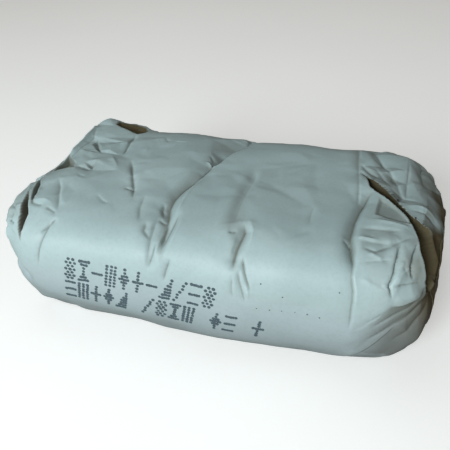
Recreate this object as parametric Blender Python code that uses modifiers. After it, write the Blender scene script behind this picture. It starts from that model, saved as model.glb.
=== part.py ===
"""A 25 kg valve sack of dry refractory concrete, lying on its large face.

The sack is a pasted block-bottom paper sack. Filled, it is a pillow with two
upright ends: each end is a folded block bottom under a glued cover patch, and
a flat kraft sleeve, the filling valve, leaves the left end at its rear corner.
Lengths are in metres, angles in degrees. X runs along the sack, Y is its
depth, with the printed long side at -Y, and Z is up from the floor.
"""

import math

import bmesh
import bpy
import numpy as np
from mathutils import Matrix

MM = 0.001

# The filled sack, from a flat one of 400 x 600 mm with 120 mm bottoms.
HALF_WIDTH = 0.142
CROWN = 0.146
BELLY = 0.061
UNDERSIDE_DEPTH = 0.073
UPPER_POWER = 4.4
LOWER_POWER = 3.2

# Each pair holds the left end's value and the right end's.
END_X = (0.230, 0.240)
END_SHEAR = (0.085, 0.082)
END_LEAN = (0.075, 0.0)
PLAN_POWER = (9.0, 6.0)
RISE_POWER = (13.0, 6.8)
CROWN_LIFT = (0.02, 0.06)

# Sides of the square that the round section is read from, in metres of girth.
TOP_GIRTH = 0.262
SIDE_GIRTH = 0.118

# The corner of paper that stands up at the rear of the left end.
EAR_PLACE = (-0.208, 0.124, 0.142)
EAR_REACH = 0.045
EAR_PUSH = (-0.016, 0.002, 0.008)

# Paper, and the clearance between pieces that touch.
WALL = 0.0008
CLEARANCE = 0.0005
MIX_SLACK = 0.0025
PATCH_PAPER = 0.0004
PATCH_GAP = 0.0004
PATCH_SHARE = 0.80

# The filling valve: a flat kraft sleeve through a slit at the rear of the left end.
SLEEVE_HEIGHT = 0.082
SLEEVE_THICKNESS = 0.0017
SLEEVE_PAPER = 0.00035
SLEEVE_LENGTH = 0.080
SLEEVE_MOUTH = (-0.1985, 0.1380)
SLEEVE_MIDDLE_HEIGHT = 0.066
SLEEVE_TURN = 10.0
CUT_OVERRUN = 0.020

# Cells of the loft along, across and up the sack. Odd counts keep the middle
# of the underside inside one flat face.
CELLS_ALONG = 45
CELLS_ACROSS = 25
CELLS_UP = 9
END_CROWDING = 0.45

# Soft waves of the filling: their depth and length, how many, and the seed that draws them.
SWELL_DEPTH = 0.001
SWELL_LENGTH = 0.170
SWELL_WAVES = 7
SWELL_SEED = 30

# Main folds: a route over the sack in mm, then how far the paper goes in and how far
# the fold reaches to the left of the route and to the right of it, in mm too. Ridges go out.
FOLDS = {
    "waist valley": (((-4, 134, 126), (2, 104, 143), (-2, 82, 144), (-19, 58, 146), (-28, 20, 146), (-33, -13, 146),
                      (-40, -50, 146), (-39, -66, 145), (-42, -98, 142), (-43, -128, 128)), 8.0, 8, 20),
    "pleats under the waist": (((-46, -92, 143), (-50, -118, 136), (-53, -138, 112)), 3.0, 7, 9),
    "second wrinkle": (((25, 45, 146), (27, -6, 146), (22, -61, 146), (26, -96, 142), (35, -117, 136),
                        (42, -134, 120), (52, -140, 102)), 3.2, 7, 9),
    "rear edge of the right half": (((4, 122, 140), (60, 124, 140), (130, 120, 141), (176, 108, 142)), 2.6, 16, 16),
    "rear edge by the right end": (((192, 100, 142), (208, 82, 144), (224, 58, 142), (229, 32, 139)), 4.0, 14, 14),
    "standing left rim": (((-224, -118, 120), (-223, -95, 134), (-221, -64, 142)), -3.4, 6, 6),
    "dip of the left rim": (((-219, -38, 144), (-216, -12, 145), (-214, 10, 146)), 3.0, 9, 9),
    "rim before the ear": (((-214, 44, 146), (-213, 66, 147), (-214, 95, 146)), -3.0, 6, 6),
    "large slit at the left rim": (((-210, -86, 143), (-203, -110, 138), (-203, -126, 126)), 8.0, 8, 8),
    "small slit at the left rim": (((-213, -58, 145), (-207, -78, 145), (-204, -94, 143)), 5.0, 7, 7),
    "pocket at the left rim": (((-212, -4, 145), (-207, -18, 146), (-213, -32, 145)), 5.0, 9, 9),
    "ear of the left end": (((-216, 98, 144), (-206, 114, 145), (-191, 124, 142), (-160, 131, 139)), -5.0, 11, 11),
    "hollow behind the ear": (((-186, 108, 145), (-168, 107, 144), (-150, 101, 144)), 7.0, 13, 13),
    "long crease by the ear": (((-153, 88, 146), (-151, 59, 147), (-147, 22, 147), (-128, -4, 147),
                                (-103, -46, 146)), 2.6, 6, 6),
    "left foot": (((-226, -112, 78), (-222, -122, 50), (-216, -124, 18)), 5.5, 34, 34),
    "rounded foot at the left": (((-208, -124, 15), (-188, -130, 14), (-168, -131, 14)), 5.5, 20, 20),
    "rounded foot along the front": (((-208, -124, 15), (-180, -130, 14), (-98, -131, 14)), 4.5, 20, 20),
    "rounded foot at the right": (((100, -131, 14), (180, -125, 15), (222, -104, 24)), 3.2, 20, 20),
    "crease of the right bottom": (((157, -13, 149), (149, -41, 149), (144, -63, 148), (141, -88, 146),
                                    (145, -118, 137), (148, -136, 116), (150, -140, 66)), 5.0, 5, 8),
    "valley of the rear flap": (((154, 90, 146), (170, 51, 149), (180, 27, 149), (188, 2, 149),
                                 (193, -22, 148)), 4.0, 8, 10),
    "rear flap": (((205, 60, 147), (201, 36, 148), (199, 8, 148), (199, -16, 148)), -2.6, 9, 7),
    "deep gap at the folded corner": (((162, 10, 149), (171, 0, 149), (182, -14, 149), (192, -32, 148),
                                       (202, -48, 147), (211, -61, 143), (220, -73, 133)), 8.5, 13, 11),
    "lower part of the deep gap": (((212, -62, 143), (217, -84, 135), (221, -100, 122), (220, -109, 110)),
                                   7.0, 10, 10),
    "edge of the folded corner": (((206, -79, 144), (211, -98, 137), (217, -111, 119), (208, -123, 108),
                                   (188, -133, 105)), -3.0, 6, 6),
    "under the folded corner": (((222, -108, 92), (204, -124, 82), (182, -134, 66)), 6.0, 12, 16),
    "rim of the right end": (((234, 60, 118), (238, 30, 126), (237, 0, 126)), -2.2, 10, 8),
    "body of the right end": (((236, -25, 122), (232, -60, 119), (226, -88, 108)), -5.0, 14, 10),
}


# Scene and materials

def clear_scene():
    for item in list(bpy.data.objects):
        bpy.data.objects.remove(item, do_unlink=True)


def make_collection(name):
    group = bpy.data.collections.new(name)
    bpy.context.scene.collection.children.link(group)
    return group


def make_material(name, colour, roughness):
    material = bpy.data.materials.new(name)
    material.use_nodes = True
    shader = material.node_tree.nodes["Principled BSDF"]
    shader.inputs["Base Color"].default_value = (*colour, 1.0)
    shader.inputs["Roughness"].default_value = roughness
    shader.inputs["Metallic"].default_value = 0.0
    return material


# The pillow's form

def section_point(angle):
    """A point of the cross section: -1 to 1 across, and -1 to 1 up."""
    across, up = np.cos(angle), np.sin(angle)
    power = np.where(up > 0, UPPER_POWER, LOWER_POWER)
    radius = (np.abs(across) ** power + np.abs(up) ** power) ** (-1 / power)
    return -across * radius, up * radius


def girth_table():
    """The section's angles against the length of paper run past, from the front middle."""
    angles = np.linspace(0, 2 * np.pi, 1441)
    across, up = section_point(angles)
    y = HALF_WIDTH * across
    z = np.where(up > 0, up * (CROWN - BELLY), np.maximum(up * UNDERSIDE_DEPTH, -BELLY))
    steps = np.hypot(np.diff(y), np.diff(z))
    return angles, np.concatenate([[0.0], np.cumsum(steps)])


GIRTH_ANGLES, GIRTH_RUN = girth_table()


def square_to_angle(across, up):
    """The section's angle for a direction on the square with sides from -1 to 1."""
    size = np.maximum(np.maximum(np.abs(across), np.abs(up)), 1e-9)
    across, up = across / size, up / size
    on_front = across <= -1 + 1e-6
    on_top = (up >= 1 - 1e-6) & ~on_front
    on_back = (across >= 1 - 1e-6) & ~on_top & ~on_front
    half_side = SIDE_GIRTH / 2
    run = np.where(
        on_front, up * half_side,
        np.where(on_top, half_side + (across + 1) * TOP_GIRTH / 2,
                 np.where(on_back, half_side + TOP_GIRTH + (1 - up) * half_side,
                          half_side + TOP_GIRTH + SIDE_GIRTH + (1 - across) * TOP_GIRTH / 2)))
    share = (run / (2 * (TOP_GIRTH + SIDE_GIRTH))) % 1.0
    return np.interp(share * GIRTH_RUN[-1], GIRTH_RUN, GIRTH_ANGLES)


def plan_outline(side):
    """The plan outline from the sack's middle to where it turns 45 degrees at one end."""
    power = PLAN_POWER[side]
    along = 1 - np.geomspace(1, 1e-6, 4000)
    along[0] = 0.0
    width = (1 - along ** power) ** (1 / power)
    rise = np.abs(np.diff(width)) * HALF_WIDTH
    going = np.diff(along) * END_X[side]
    run = np.concatenate([[0.0], np.cumsum(np.hypot(rise, going))])
    last = int(np.argmax(rise > going))
    return along[:last + 1], run[:last + 1], width[last]


OUTLINES = (plan_outline(0), plan_outline(1))


def pillow_point(cube):
    """Carry points of the cube with sides from -1 to 1 to the smooth filled sack."""
    along, across, up = cube.T
    on_end = np.abs(along) > 1 - 1e-6
    share = np.where(on_end, np.maximum(np.abs(across), np.abs(up)), 1.0)
    result = np.empty_like(cube)
    for side, sign in enumerate((-1, 1)):
        here = (along < 0) if sign < 0 else (along >= 0)
        stations, run, edge_width = OUTLINES[side]
        plan, rise = PLAN_POWER[side], RISE_POWER[side]
        on_tube = np.interp(np.abs(along[here]) * run[-1], run, stations)
        on_cap = (1 - (share[here] * edge_width) ** plan) ** (1 / plan)
        place = np.where(on_end[here], on_cap, on_tube)
        width = np.maximum(1 - place ** plan, 0) ** (1 / plan)
        height = np.maximum(1 - place ** rise, 0) ** (1 / rise)
        edge_height = (1 - stations[-1] ** rise) ** (1 / rise)
        height = np.where(on_end[here], share[here] * edge_height, height)
        y_share, z_share = section_point(square_to_angle(across[here], up[here]))
        crown = CROWN * (1 + CROWN_LIFT[side] * place ** 2)
        reach = np.where(z_share > 0, crown - BELLY, UNDERSIDE_DEPTH)
        y = HALF_WIDTH * width * y_share
        z = np.maximum(BELLY + reach * height * z_share, 0)
        x = sign * place * END_X[side] + END_SHEAR[side] * place ** 2 * y
        x -= sign * END_LEAN[side] * place ** 8 * np.maximum(CROWN - 0.02 - z, 0)
        result[here] = np.stack([x, y, z], axis=1)
    return result


def swell_depth(points):
    """How far the filling's soft waves push the paper outwards at each point."""
    chance = np.random.default_rng(SWELL_SEED)
    total = np.zeros(len(points))
    for _ in range(SWELL_WAVES):
        way = chance.normal(size=3)
        way = way / np.linalg.norm(way)
        length = SWELL_LENGTH * chance.uniform(0.5, 1.3)
        total += np.sin(points @ way * (2 * math.pi / length) + chance.uniform(0, 6.3)) * length
    held = np.clip(points[:, 2] / 0.03, 0, 1)
    return total * SWELL_DEPTH / total.std() * held * held * (3 - 2 * held)


def fold_profile(points, normals, route, left_reach, right_reach):
    """A fold's share at each point: 1 on the route, and less with the distance to either side."""
    nearest = np.full(len(points), 1.0)
    reach = np.full(len(points), left_reach)
    for start, end in zip(route[:-1], route[1:]):
        run = end - start
        share = np.clip((points - start) @ run / (run @ run), 0, 1)
        off = points - start - share[:, None] * run
        off -= np.einsum("ij,ij->i", off, normals)[:, None] * normals
        away = np.linalg.norm(points - start - share[:, None] * run, axis=1)
        side = np.einsum("ij,ij->i", np.cross(normals, np.broadcast_to(run, off.shape)), off)
        closer = away < nearest
        nearest[closer] = away[closer]
        reach[closer] = np.where(side > 0, left_reach, right_reach)[closer]
    return np.exp(-(nearest / reach) ** 2)


def fold_depth(points, normals, slack):
    """How far the main folds draw the paper inwards at each point.

    With slack, valleys are that much deeper and wider and ridges are left out, as the powder
    lies under the paper.
    """
    depth = np.zeros(len(points))
    for route, inwards, left_reach, right_reach in FOLDS.values():
        if slack and inwards < 0:
            continue
        reaches = (left_reach * MM + slack, right_reach * MM + slack)
        profile = fold_profile(points, normals, np.array(route) * MM, *reaches)
        depth += (inwards * MM + slack) * profile
    return depth


def stand_ear(points):
    """Draw the rear corner of the left end up and out into its paper ear."""
    away = np.linalg.norm(points - np.array(EAR_PLACE), axis=1)
    strength = np.exp(-(away / EAR_REACH) ** 2)
    return points + strength[:, None] * np.array(EAR_PUSH)


# Meshes

def cell_edges(count, crowding=0.0):
    """Inner cell edges from -1 to 1, drawn towards both ends by the crowding."""
    even = np.linspace(-1, 1, count + 1)[1:-1]
    return (1 - crowding) * even + crowding * np.sin(even * np.pi / 2)


def cut_cube():
    """A cube with sides from -1 to 1, cut into the sack's cells."""
    mesh = bmesh.new()
    bmesh.ops.create_cube(mesh, size=2.0)
    cuts = (cell_edges(CELLS_ALONG, END_CROWDING), cell_edges(CELLS_ACROSS), cell_edges(CELLS_UP))
    for axis, places in enumerate(cuts):
        for place in places:
            point = [0.0, 0.0, 0.0]
            normal = [0.0, 0.0, 0.0]
            point[axis] = float(place)
            normal[axis] = 1.0
            everything = mesh.verts[:] + mesh.edges[:] + mesh.faces[:]
            bmesh.ops.bisect_plane(mesh, geom=everything, dist=1e-6, plane_co=point, plane_no=normal)
    return mesh


def end_faces(mesh, sign):
    """Faces of the cut cube under the cover patch of one end."""
    middles = {face: face.calc_center_median() for face in mesh.faces}
    return {face for face, middle in middles.items()
            if middle.x * sign > 1 - 1e-6
            and max(abs(middle.y), abs(middle.z)) < PATCH_SHARE}


def shape_sack(mesh, slack):
    """Carry the cut cube to the folded sack."""
    cube = np.array([vert.co for vert in mesh.verts])
    points = stand_ear(pillow_point(cube))
    for vert, point in zip(mesh.verts, points):
        vert.co = point
    mesh.normal_update()
    normals = np.array([vert.normal for vert in mesh.verts])
    inwards = fold_depth(points, normals, slack) - swell_depth(points)
    moved = [vert.co - vert.normal * float(depth) for vert, depth in zip(mesh.verts, inwards)]
    for vert, point in zip(mesh.verts, moved):
        vert.co = point
        vert.co.z = max(vert.co.z, 0.0)
    mesh.normal_update()


def sack_mesh(offset=0.0, patch_end=None, slack=0.0):
    """The folded sack's surface moved outwards by the offset, whole or one end's patch of it."""
    mesh = cut_cube()
    patch = end_faces(mesh, patch_end) if patch_end else None
    shape_sack(mesh, slack)
    moved = [vert.co + vert.normal * offset for vert in mesh.verts]
    for vert, point in zip(mesh.verts, moved):
        vert.co = point
    if patch:
        others = [face for face in mesh.faces if face not in patch]
        bmesh.ops.delete(mesh, geom=others, context="FACES")
    return mesh


def add_object(name, mesh, group, material):
    data = bpy.data.meshes.new(name)
    mesh.to_mesh(data)
    mesh.free()
    data.materials.append(material)
    data.shade_smooth()
    data.set_sharp_from_angle(angle=math.radians(40))
    item = bpy.data.objects.new(name, data)
    group.objects.link(item)
    return item


def add_solidify(item, thickness, direction):
    wall = item.modifiers.new("Paper", "SOLIDIFY")
    wall.thickness = thickness
    wall.offset = direction
    wall.use_even_offset = False


# The pieces

def add_cut(item, cutter):
    cut = item.modifiers.new("Sleeve room", "BOOLEAN")
    cut.operation = "DIFFERENCE"
    cut.solver = "EXACT"
    cut.object = cutter


def build_paper_sack(group, material, sleeve_room):
    """The paper wall, slit where the valve sleeve passes through it."""
    sack = add_object("paper_sack", sack_mesh(), group, material)
    add_solidify(sack, WALL, -1.0)
    add_cut(sack, sleeve_room)


def build_dry_mix(group, material, sleeve_room):
    """The powder that fills the sack, drawn back round the valve sleeve."""
    mix = add_object("dry_mix", sack_mesh(offset=-(WALL + CLEARANCE), slack=MIX_SLACK), group, material)
    add_cut(mix, sleeve_room)


def build_end_patch(group, material, name, sign):
    """The cover sheet glued over one folded block bottom."""
    patch = add_object(name, sack_mesh(offset=PATCH_GAP, patch_end=sign), group, material)
    add_solidify(patch, PATCH_PAPER, 1.0)


def sleeve_placement():
    """The sleeve's own frame: it runs from its mouth into the sack along local -Y."""
    place = Matrix.Translation((*SLEEVE_MOUTH, SLEEVE_MIDDLE_HEIGHT))
    return place @ Matrix.Rotation(math.radians(-SLEEVE_TURN), 4, "Z")


def build_valve_sleeve(group, material):
    """A flat tube, open at both ends."""
    mesh = bmesh.new()
    bmesh.ops.create_cone(mesh, cap_ends=False, segments=8, radius1=SLEEVE_THICKNESS / 2,
                          radius2=SLEEVE_THICKNESS / 2, depth=SLEEVE_LENGTH,
                          matrix=Matrix.Rotation(math.radians(22.5), 4, "Z"))
    straight = (SLEEVE_HEIGHT - SLEEVE_THICKNESS) / 2
    for vert in mesh.verts:
        vert.co.y += math.copysign(straight, vert.co.y)
    bmesh.ops.rotate(mesh, verts=mesh.verts[:], cent=(0, 0, 0), matrix=Matrix.Rotation(math.radians(90), 3, "X"))
    bmesh.ops.translate(mesh, verts=mesh.verts[:], vec=(0, -SLEEVE_LENGTH / 2, 0))
    sleeve = add_object("valve_sleeve", mesh, group, material)
    sleeve.matrix_world = sleeve_placement()
    add_solidify(sleeve, SLEEVE_PAPER, -1.0)


def build_sleeve_room(cutters):
    """The room that the sleeve takes in the paper wall and the dry mix."""
    mesh = bmesh.new()
    bmesh.ops.create_cube(mesh, size=1.0)
    width = SLEEVE_THICKNESS + 2 * CLEARANCE
    height = SLEEVE_HEIGHT + 2 * CLEARANCE
    length = SLEEVE_LENGTH + CLEARANCE + CUT_OVERRUN
    bmesh.ops.scale(mesh, verts=mesh.verts[:], vec=(width, length, height))
    bmesh.ops.translate(mesh, verts=mesh.verts[:], vec=(0, CUT_OVERRUN - length / 2, 0))
    data = bpy.data.meshes.new("sleeve_room")
    mesh.to_mesh(data)
    mesh.free()
    cutter = bpy.data.objects.new("sleeve_room", data)
    cutter.matrix_world = sleeve_placement()
    cutter.hide_render = True
    cutter.display_type = "WIRE"
    cutters.objects.link(cutter)
    return cutter


def main():
    clear_scene()
    group = make_collection("refractory_concrete_sack")
    cutters = make_collection("cutters")
    white_kraft = make_material("white_kraft_paper", (0.56, 0.63, 0.64), 0.60)
    brown_kraft = make_material("brown_kraft_paper", (0.23, 0.16, 0.10), 0.75)
    powder = make_material("dry_castable", (0.33, 0.32, 0.30), 0.95)
    sleeve_room = build_sleeve_room(cutters)
    build_paper_sack(group, white_kraft, sleeve_room)
    build_dry_mix(group, powder, sleeve_room)
    build_valve_sleeve(group, brown_kraft)
    build_end_patch(group, white_kraft, "end_patch_left", -1)
    build_end_patch(group, white_kraft, "end_patch_right", 1)


main()
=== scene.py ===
"""Looks of a filled paper valve sack of dry refractory concrete, lying on its large face.

The sack is one sheet of cells carried onto the filled pillow and then folded: creases and pleats are
short routes with a profile across them, gaps are sunk outlines, and handled paper is a net of flat
facets. Lengths are in metres, except the places and depths of folds, which are in millimetres. X runs
along the sack, -Y is its marked long side, and the floor is at Z = 0.
"""

import math

import bmesh
import bpy
import numpy as np
from mathutils import Matrix, Vector
from mathutils.bvhtree import BVHTree
from mathutils.geometry import delaunay_2d_cdt


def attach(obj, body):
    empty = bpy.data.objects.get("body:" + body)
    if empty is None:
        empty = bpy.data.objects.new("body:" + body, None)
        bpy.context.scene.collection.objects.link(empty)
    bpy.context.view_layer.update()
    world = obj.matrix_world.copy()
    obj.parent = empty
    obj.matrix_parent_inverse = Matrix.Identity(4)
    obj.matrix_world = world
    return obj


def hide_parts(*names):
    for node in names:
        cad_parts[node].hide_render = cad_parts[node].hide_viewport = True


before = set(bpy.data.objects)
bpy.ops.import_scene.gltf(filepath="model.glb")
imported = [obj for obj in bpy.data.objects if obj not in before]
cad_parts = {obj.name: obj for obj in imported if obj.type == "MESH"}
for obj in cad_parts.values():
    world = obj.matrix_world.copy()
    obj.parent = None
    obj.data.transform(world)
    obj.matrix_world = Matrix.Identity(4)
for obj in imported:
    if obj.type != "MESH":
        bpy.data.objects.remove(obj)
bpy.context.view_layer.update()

MM = 0.001

# The filled pillow, as in the solids
HALF_WIDTH = 0.142
CROWN = 0.146
BELLY = 0.061
UNDERSIDE_DEPTH = 0.073
UPPER_POWER = 4.4
LOWER_POWER = 3.2
END_X = (0.230, 0.240)
END_SHEAR = (0.085, 0.082)
END_LEAN = (0.075, 0.0)
PLAN_POWER = (9.0, 6.0)
RISE_POWER = (13.0, 6.8)
CROWN_LIFT = (0.02, 0.06)
TOP_GIRTH = 0.262
SIDE_GIRTH = 0.118
EAR_PLACE = (-0.208, 0.124, 0.142)
EAR_REACH = 0.045
EAR_PUSH = (-0.016, 0.002, 0.008)
# How late the ends set in to lean, and how far under the crown they stop
LEAN_POWER = 8
LEAN_TOP = 0.02
# Steps by which the section and the plan are measured out
GIRTH_STEPS = 1441
OUTLINE_STEPS = 4000

# Slack for values that ought to lie on a border, and a distance past all others
SLACK = 1e-6
FAR = 1e9

# Coarse cells along, across and up; the busiest are cut in 4 and in 16
COARSE_CELLS = (96, 56, 26)
FINEST = 4
FINE_CELLS = 3850
MIDDLE_CELLS = 6000
# Paper that is seen less counts for less when cells are cut: below a height, and behind a place
FLOOR_BELOW = 0.004
FLOOR_WORTH = 0.15
REAR_BEHIND = 0.12
REAR_WORTH = 0.7

# Ways that a region of paper faces, out of the sack
UP = (0.0, 0.0, 1.0)
DOWN = (0.0, 0.0, -1.0)
FRONT = (0.0, -1.0, 0.0)
REAR = (0.0, 1.0, 0.0)
LEFT_TOP = (-0.55, -0.25, 0.80)
RIGHT_TOP = (0.55, -0.20, 0.81)
RIGHT = (1.0, 0.0, 0.0)
RIGHT_FRONT = (0.70, -0.60, 0.40)

# How little paper may face a chart's way, and over what share it fades in there
GRAZING = 0.10
GRAZING_FADE = 0.35
# A chart that faces the front or the rear more than this has Z as its way up, and others have Y
SIDEWAYS = 0.9
# Nodes nearer to each other than this count as one
NODE_SLACK = 1e-7
# The furthest that a facet is drawn flat, and the least area of one
MOST_PULL = 0.0035
LEAST_AREA = 1e-12

# How far a fold reaches, in widths and in further mm
FOLD_REACH = 3.5
FOLD_MARGIN = 1.5
# How soft the line of a crease is in mm, and the share of its reach over which it ends
CREASE_SOFTNESS = 0.35
CREASE_END = 0.35
# How far paper is drawn along behind an overhang, as a share of the width and of the overhang
DRAG_OF_WIDTH = 0.7
DRAG_OF_OVERHANG = 1.4
# Room round a gap and the width of its lip, in mm
GAP_ROOM = 8
LIP_WIDTH = 2.5

# Crumples: how unevenly their nodes lie, the power by which they end, and how far past their radius
# paper is looked at; paper steeper than the last value doesn't tilt a facet any further
NODE_UNEVENNESS = 0.46
CRUMPLE_POWER = 1.5
CRUMPLE_ROOM = 1.05
STEEPEST = 0.3

# Waves of the filling: their number, their lengths as shares, their latest start in radians, and the
# height over which they set in above the floor
SWELL_WAVES = 7
SWELL_LENGTHS = (0.5, 1.3)
SWELL_START = 6.3
SWELL_HEIGHT = 0.03

# Papers
WALL = 0.0008
PATCH_GAP = 0.0004
PATCH_PAPER = 0.0005
PATCH_SHARE = 0.80
# How far the filling lies inside the paper, and how many cells a fold's depth spreads in it
FILLING_INSET = 0.0040
FILLING_SPREAD = 3

# Share for wear and painted light on flat paper, and the bend, in 1 over metres, that adds 1 to it
FLAT_PAPER_TONE = 0.5
TONE_BEND = 900

# How much shade is painted along a crease's line: a share for each mm of its depth, its width as a
# share of the crease's, the least width in mm, and the most shade
CREASE_SHADE = 0.13
CREASE_SHADE_WIDTH = 0.45
LEAST_SHADE_WIDTH = 1.0
MOST_CREASE_SHADE = 0.62
# How far in mm the shade painted in a gap spills over its rim, and how much of the wall it takes to get
# dark
GAP_SHADE_RIM = 1.1
GAP_SHADE_WALL = 0.45

# Marks on the long side: dots of ink in 7 rows and 5 columns
DOT_RADIUS = 0.0019
DOT_THICKNESS = 0.0004
DOT_SIDES = 10
COLUMN_STEP = 0.0024
MARK_LEAN = 0.20
MARK_UNEVENNESS = 0.00018
MARK_SEED = 81
# Least and greatest size of a dot and of a speck, as shares
DOT_SIZES = (0.88, 1.06)
SPECK_SIZES = (0.8, 1.3)
# Where the front begins for the marks, as a share of the half width
FRONT_SHARE = 0.6
# Each line: middle of its first mark, pitch, row step and slope, then its marks
MARK_LINES = (
    ((-0.1435, 0.0940), 0.01535, 0.00425, -0.058,
     "checks hourglass dash bars lozenge plus dash ramp slant rows checks"),
    ((-0.1490, 0.0645), 0.01500, 0.00360, -0.066,
     "rows bars plus lozenge ramp none slant checks hourglass bars none lozenge rows none plus"),
)
# Stray specks of ink: a row of them and three by themselves, as x and z
SPECK_SIZE = 0.34
SPECKS = (
    (0.059, 0.081), (0.072, 0.081), (0.084, 0.082), (0.097, 0.083), (0.109, 0.083), (0.121, 0.081),
    (0.062, 0.112), (0.136, 0.114), (0.084, 0.101),
)

# Filling valve, as in the solids: a flat kraft tube through the rear of the left end
SLEEVE_HEIGHT = 0.082
SLEEVE_LENGTH = 0.080
SLEEVE_MOUTH = (-0.1985, 0.1380, 0.066)
SLEEVE_TURN = 10.0
SLEEVE_PAPER = 0.00035
SLEEVE_FLAT = 0.0010
SLEEVE_OPEN = 0.0042
# Rows and columns of its cells, the power that rounds its section, and the share of painted shade inside it
SLEEVE_CELLS = (44, 96)
SLEEVE_POWER = 0.7
SLEEVE_INSIDE_SHADE = 0.8
# How far in the open mouth, the waves and the ragged edge reach, as shares of the length
OPEN_REACH = 0.28
WAVE_REACH = 0.35
RAGGED_REACH = 0.10
# Waves of its sides and of its cut edge: size, turns up the tube, turns inwards, and start
SLEEVE_WAVES = ((0.0011, 3.1, 5.0, 0.6), (0.0006, 8.3, -9.0, 0))
RAGGED_WAVES = ((0.0012, 5.0, 0, 1.0), (0.0006, 13.0, 0, 0))

# Camera, as it stood to the sack in the photograph
CAMERA_PLACE = (0.1155, -0.4826, 0.4330)
CAMERA_YAW = -14.35
CAMERA_DOWN = 35.87
CAMERA_ROLL = -1.21
CAMERA_LENS = 38.9
CAMERA_CLIP = 0.01
SENSOR = 36.0


# The pillow's form

def section_point(angle):
    """A point of the cross section: -1 to 1 across, and -1 to 1 up."""
    across, up = np.cos(angle), np.sin(angle)
    power = np.where(up > 0, UPPER_POWER, LOWER_POWER)
    radius = (np.abs(across) ** power + np.abs(up) ** power) ** (-1 / power)
    return -across * radius, up * radius


def girth_table():
    """The section's angles against the length of paper run past, from the front middle."""
    angles = np.linspace(0, 2 * np.pi, GIRTH_STEPS)
    across, up = section_point(angles)
    y = HALF_WIDTH * across
    z = np.where(up > 0, up * (CROWN - BELLY), np.maximum(up * UNDERSIDE_DEPTH, -BELLY))
    steps = np.hypot(np.diff(y), np.diff(z))
    return angles, np.concatenate([[0.0], np.cumsum(steps)])


GIRTH_ANGLES, GIRTH_RUN = girth_table()


def square_to_angle(across, up):
    """The section's angle for a direction on the square with sides from -1 to 1."""
    size = np.maximum(np.maximum(np.abs(across), np.abs(up)), 1e-9)
    across, up = across / size, up / size
    on_front = across <= -1 + SLACK
    on_top = (up >= 1 - SLACK) & ~on_front
    on_back = (across >= 1 - SLACK) & ~on_top & ~on_front
    half_side = SIDE_GIRTH / 2
    run = np.where(
        on_front, up * half_side,
        np.where(on_top, half_side + (across + 1) * TOP_GIRTH / 2,
                 np.where(on_back, half_side + TOP_GIRTH + (1 - up) * half_side,
                          half_side + TOP_GIRTH + SIDE_GIRTH + (1 - across) * TOP_GIRTH / 2)))
    share = (run / (2 * (TOP_GIRTH + SIDE_GIRTH))) % 1.0
    return np.interp(share * GIRTH_RUN[-1], GIRTH_RUN, GIRTH_ANGLES)


def plan_outline(side):
    """The plan outline from the sack's middle to where it turns 45 degrees at one end."""
    power = PLAN_POWER[side]
    along = 1 - np.geomspace(1, SLACK, OUTLINE_STEPS)
    along[0] = 0.0
    width = (1 - along ** power) ** (1 / power)
    rise = np.abs(np.diff(width)) * HALF_WIDTH
    going = np.diff(along) * END_X[side]
    run = np.concatenate([[0.0], np.cumsum(np.hypot(rise, going))])
    last = int(np.argmax(rise > going))
    return along[:last + 1], run[:last + 1], width[last]


OUTLINES = (plan_outline(0), plan_outline(1))


def pillow_point(cube):
    """Carry points of the cube with sides from -1 to 1 to the smooth filled sack."""
    along, across, up = cube.T
    on_end = np.abs(along) > 1 - SLACK
    share = np.where(on_end, np.maximum(np.abs(across), np.abs(up)), 1.0)
    result = np.empty_like(cube)
    for side, sign in enumerate((-1, 1)):
        here = (along < 0) if sign < 0 else (along >= 0)
        stations, run, edge_width = OUTLINES[side]
        plan, rise = PLAN_POWER[side], RISE_POWER[side]
        on_tube = np.interp(np.abs(along[here]) * run[-1], run, stations)
        on_cap = (1 - (share[here] * edge_width) ** plan) ** (1 / plan)
        place = np.where(on_end[here], on_cap, on_tube)
        width = np.maximum(1 - place ** plan, 0) ** (1 / plan)
        height = np.maximum(1 - place ** rise, 0) ** (1 / rise)
        edge_height = (1 - stations[-1] ** rise) ** (1 / rise)
        height = np.where(on_end[here], share[here] * edge_height, height)
        y_share, z_share = section_point(square_to_angle(across[here], up[here]))
        crown = CROWN * (1 + CROWN_LIFT[side] * place ** 2)
        reach = np.where(z_share > 0, crown - BELLY, UNDERSIDE_DEPTH)
        y = HALF_WIDTH * width * y_share
        z = np.maximum(BELLY + reach * height * z_share, 0)
        x = sign * place * END_X[side] + END_SHEAR[side] * place ** 2 * y
        x -= sign * END_LEAN[side] * place ** LEAN_POWER * np.maximum(CROWN - LEAN_TOP - z, 0)
        result[here] = np.stack([x, y, z], axis=1)
    return result


def stand_ear(points):
    """Draw the rear corner of the left end up and out into its paper ear."""
    away = np.linalg.norm(points - np.array(EAR_PLACE), axis=1)
    strength = np.exp(-(away / EAR_REACH) ** 2)
    return points + strength[:, None] * np.array(EAR_PUSH)


# The sheet of cells

# Each side of the cube: its first corner, and the two ways its cells run, facing outwards
CUBE_SIDES = (
    ((0, 0, 1), (1, 0, 0), (0, 1, 0)),
    ((0, 1, 0), (1, 0, 0), (0, -1, 0)),
    ((0, 0, 0), (1, 0, 0), (0, 0, 1)),
    ((0, 1, 1), (1, 0, 0), (0, 0, -1)),
    ((1, 0, 0), (0, 1, 0), (0, 0, 1)),
    ((0, 1, 0), (0, -1, 0), (0, 0, 1)),
)


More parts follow.
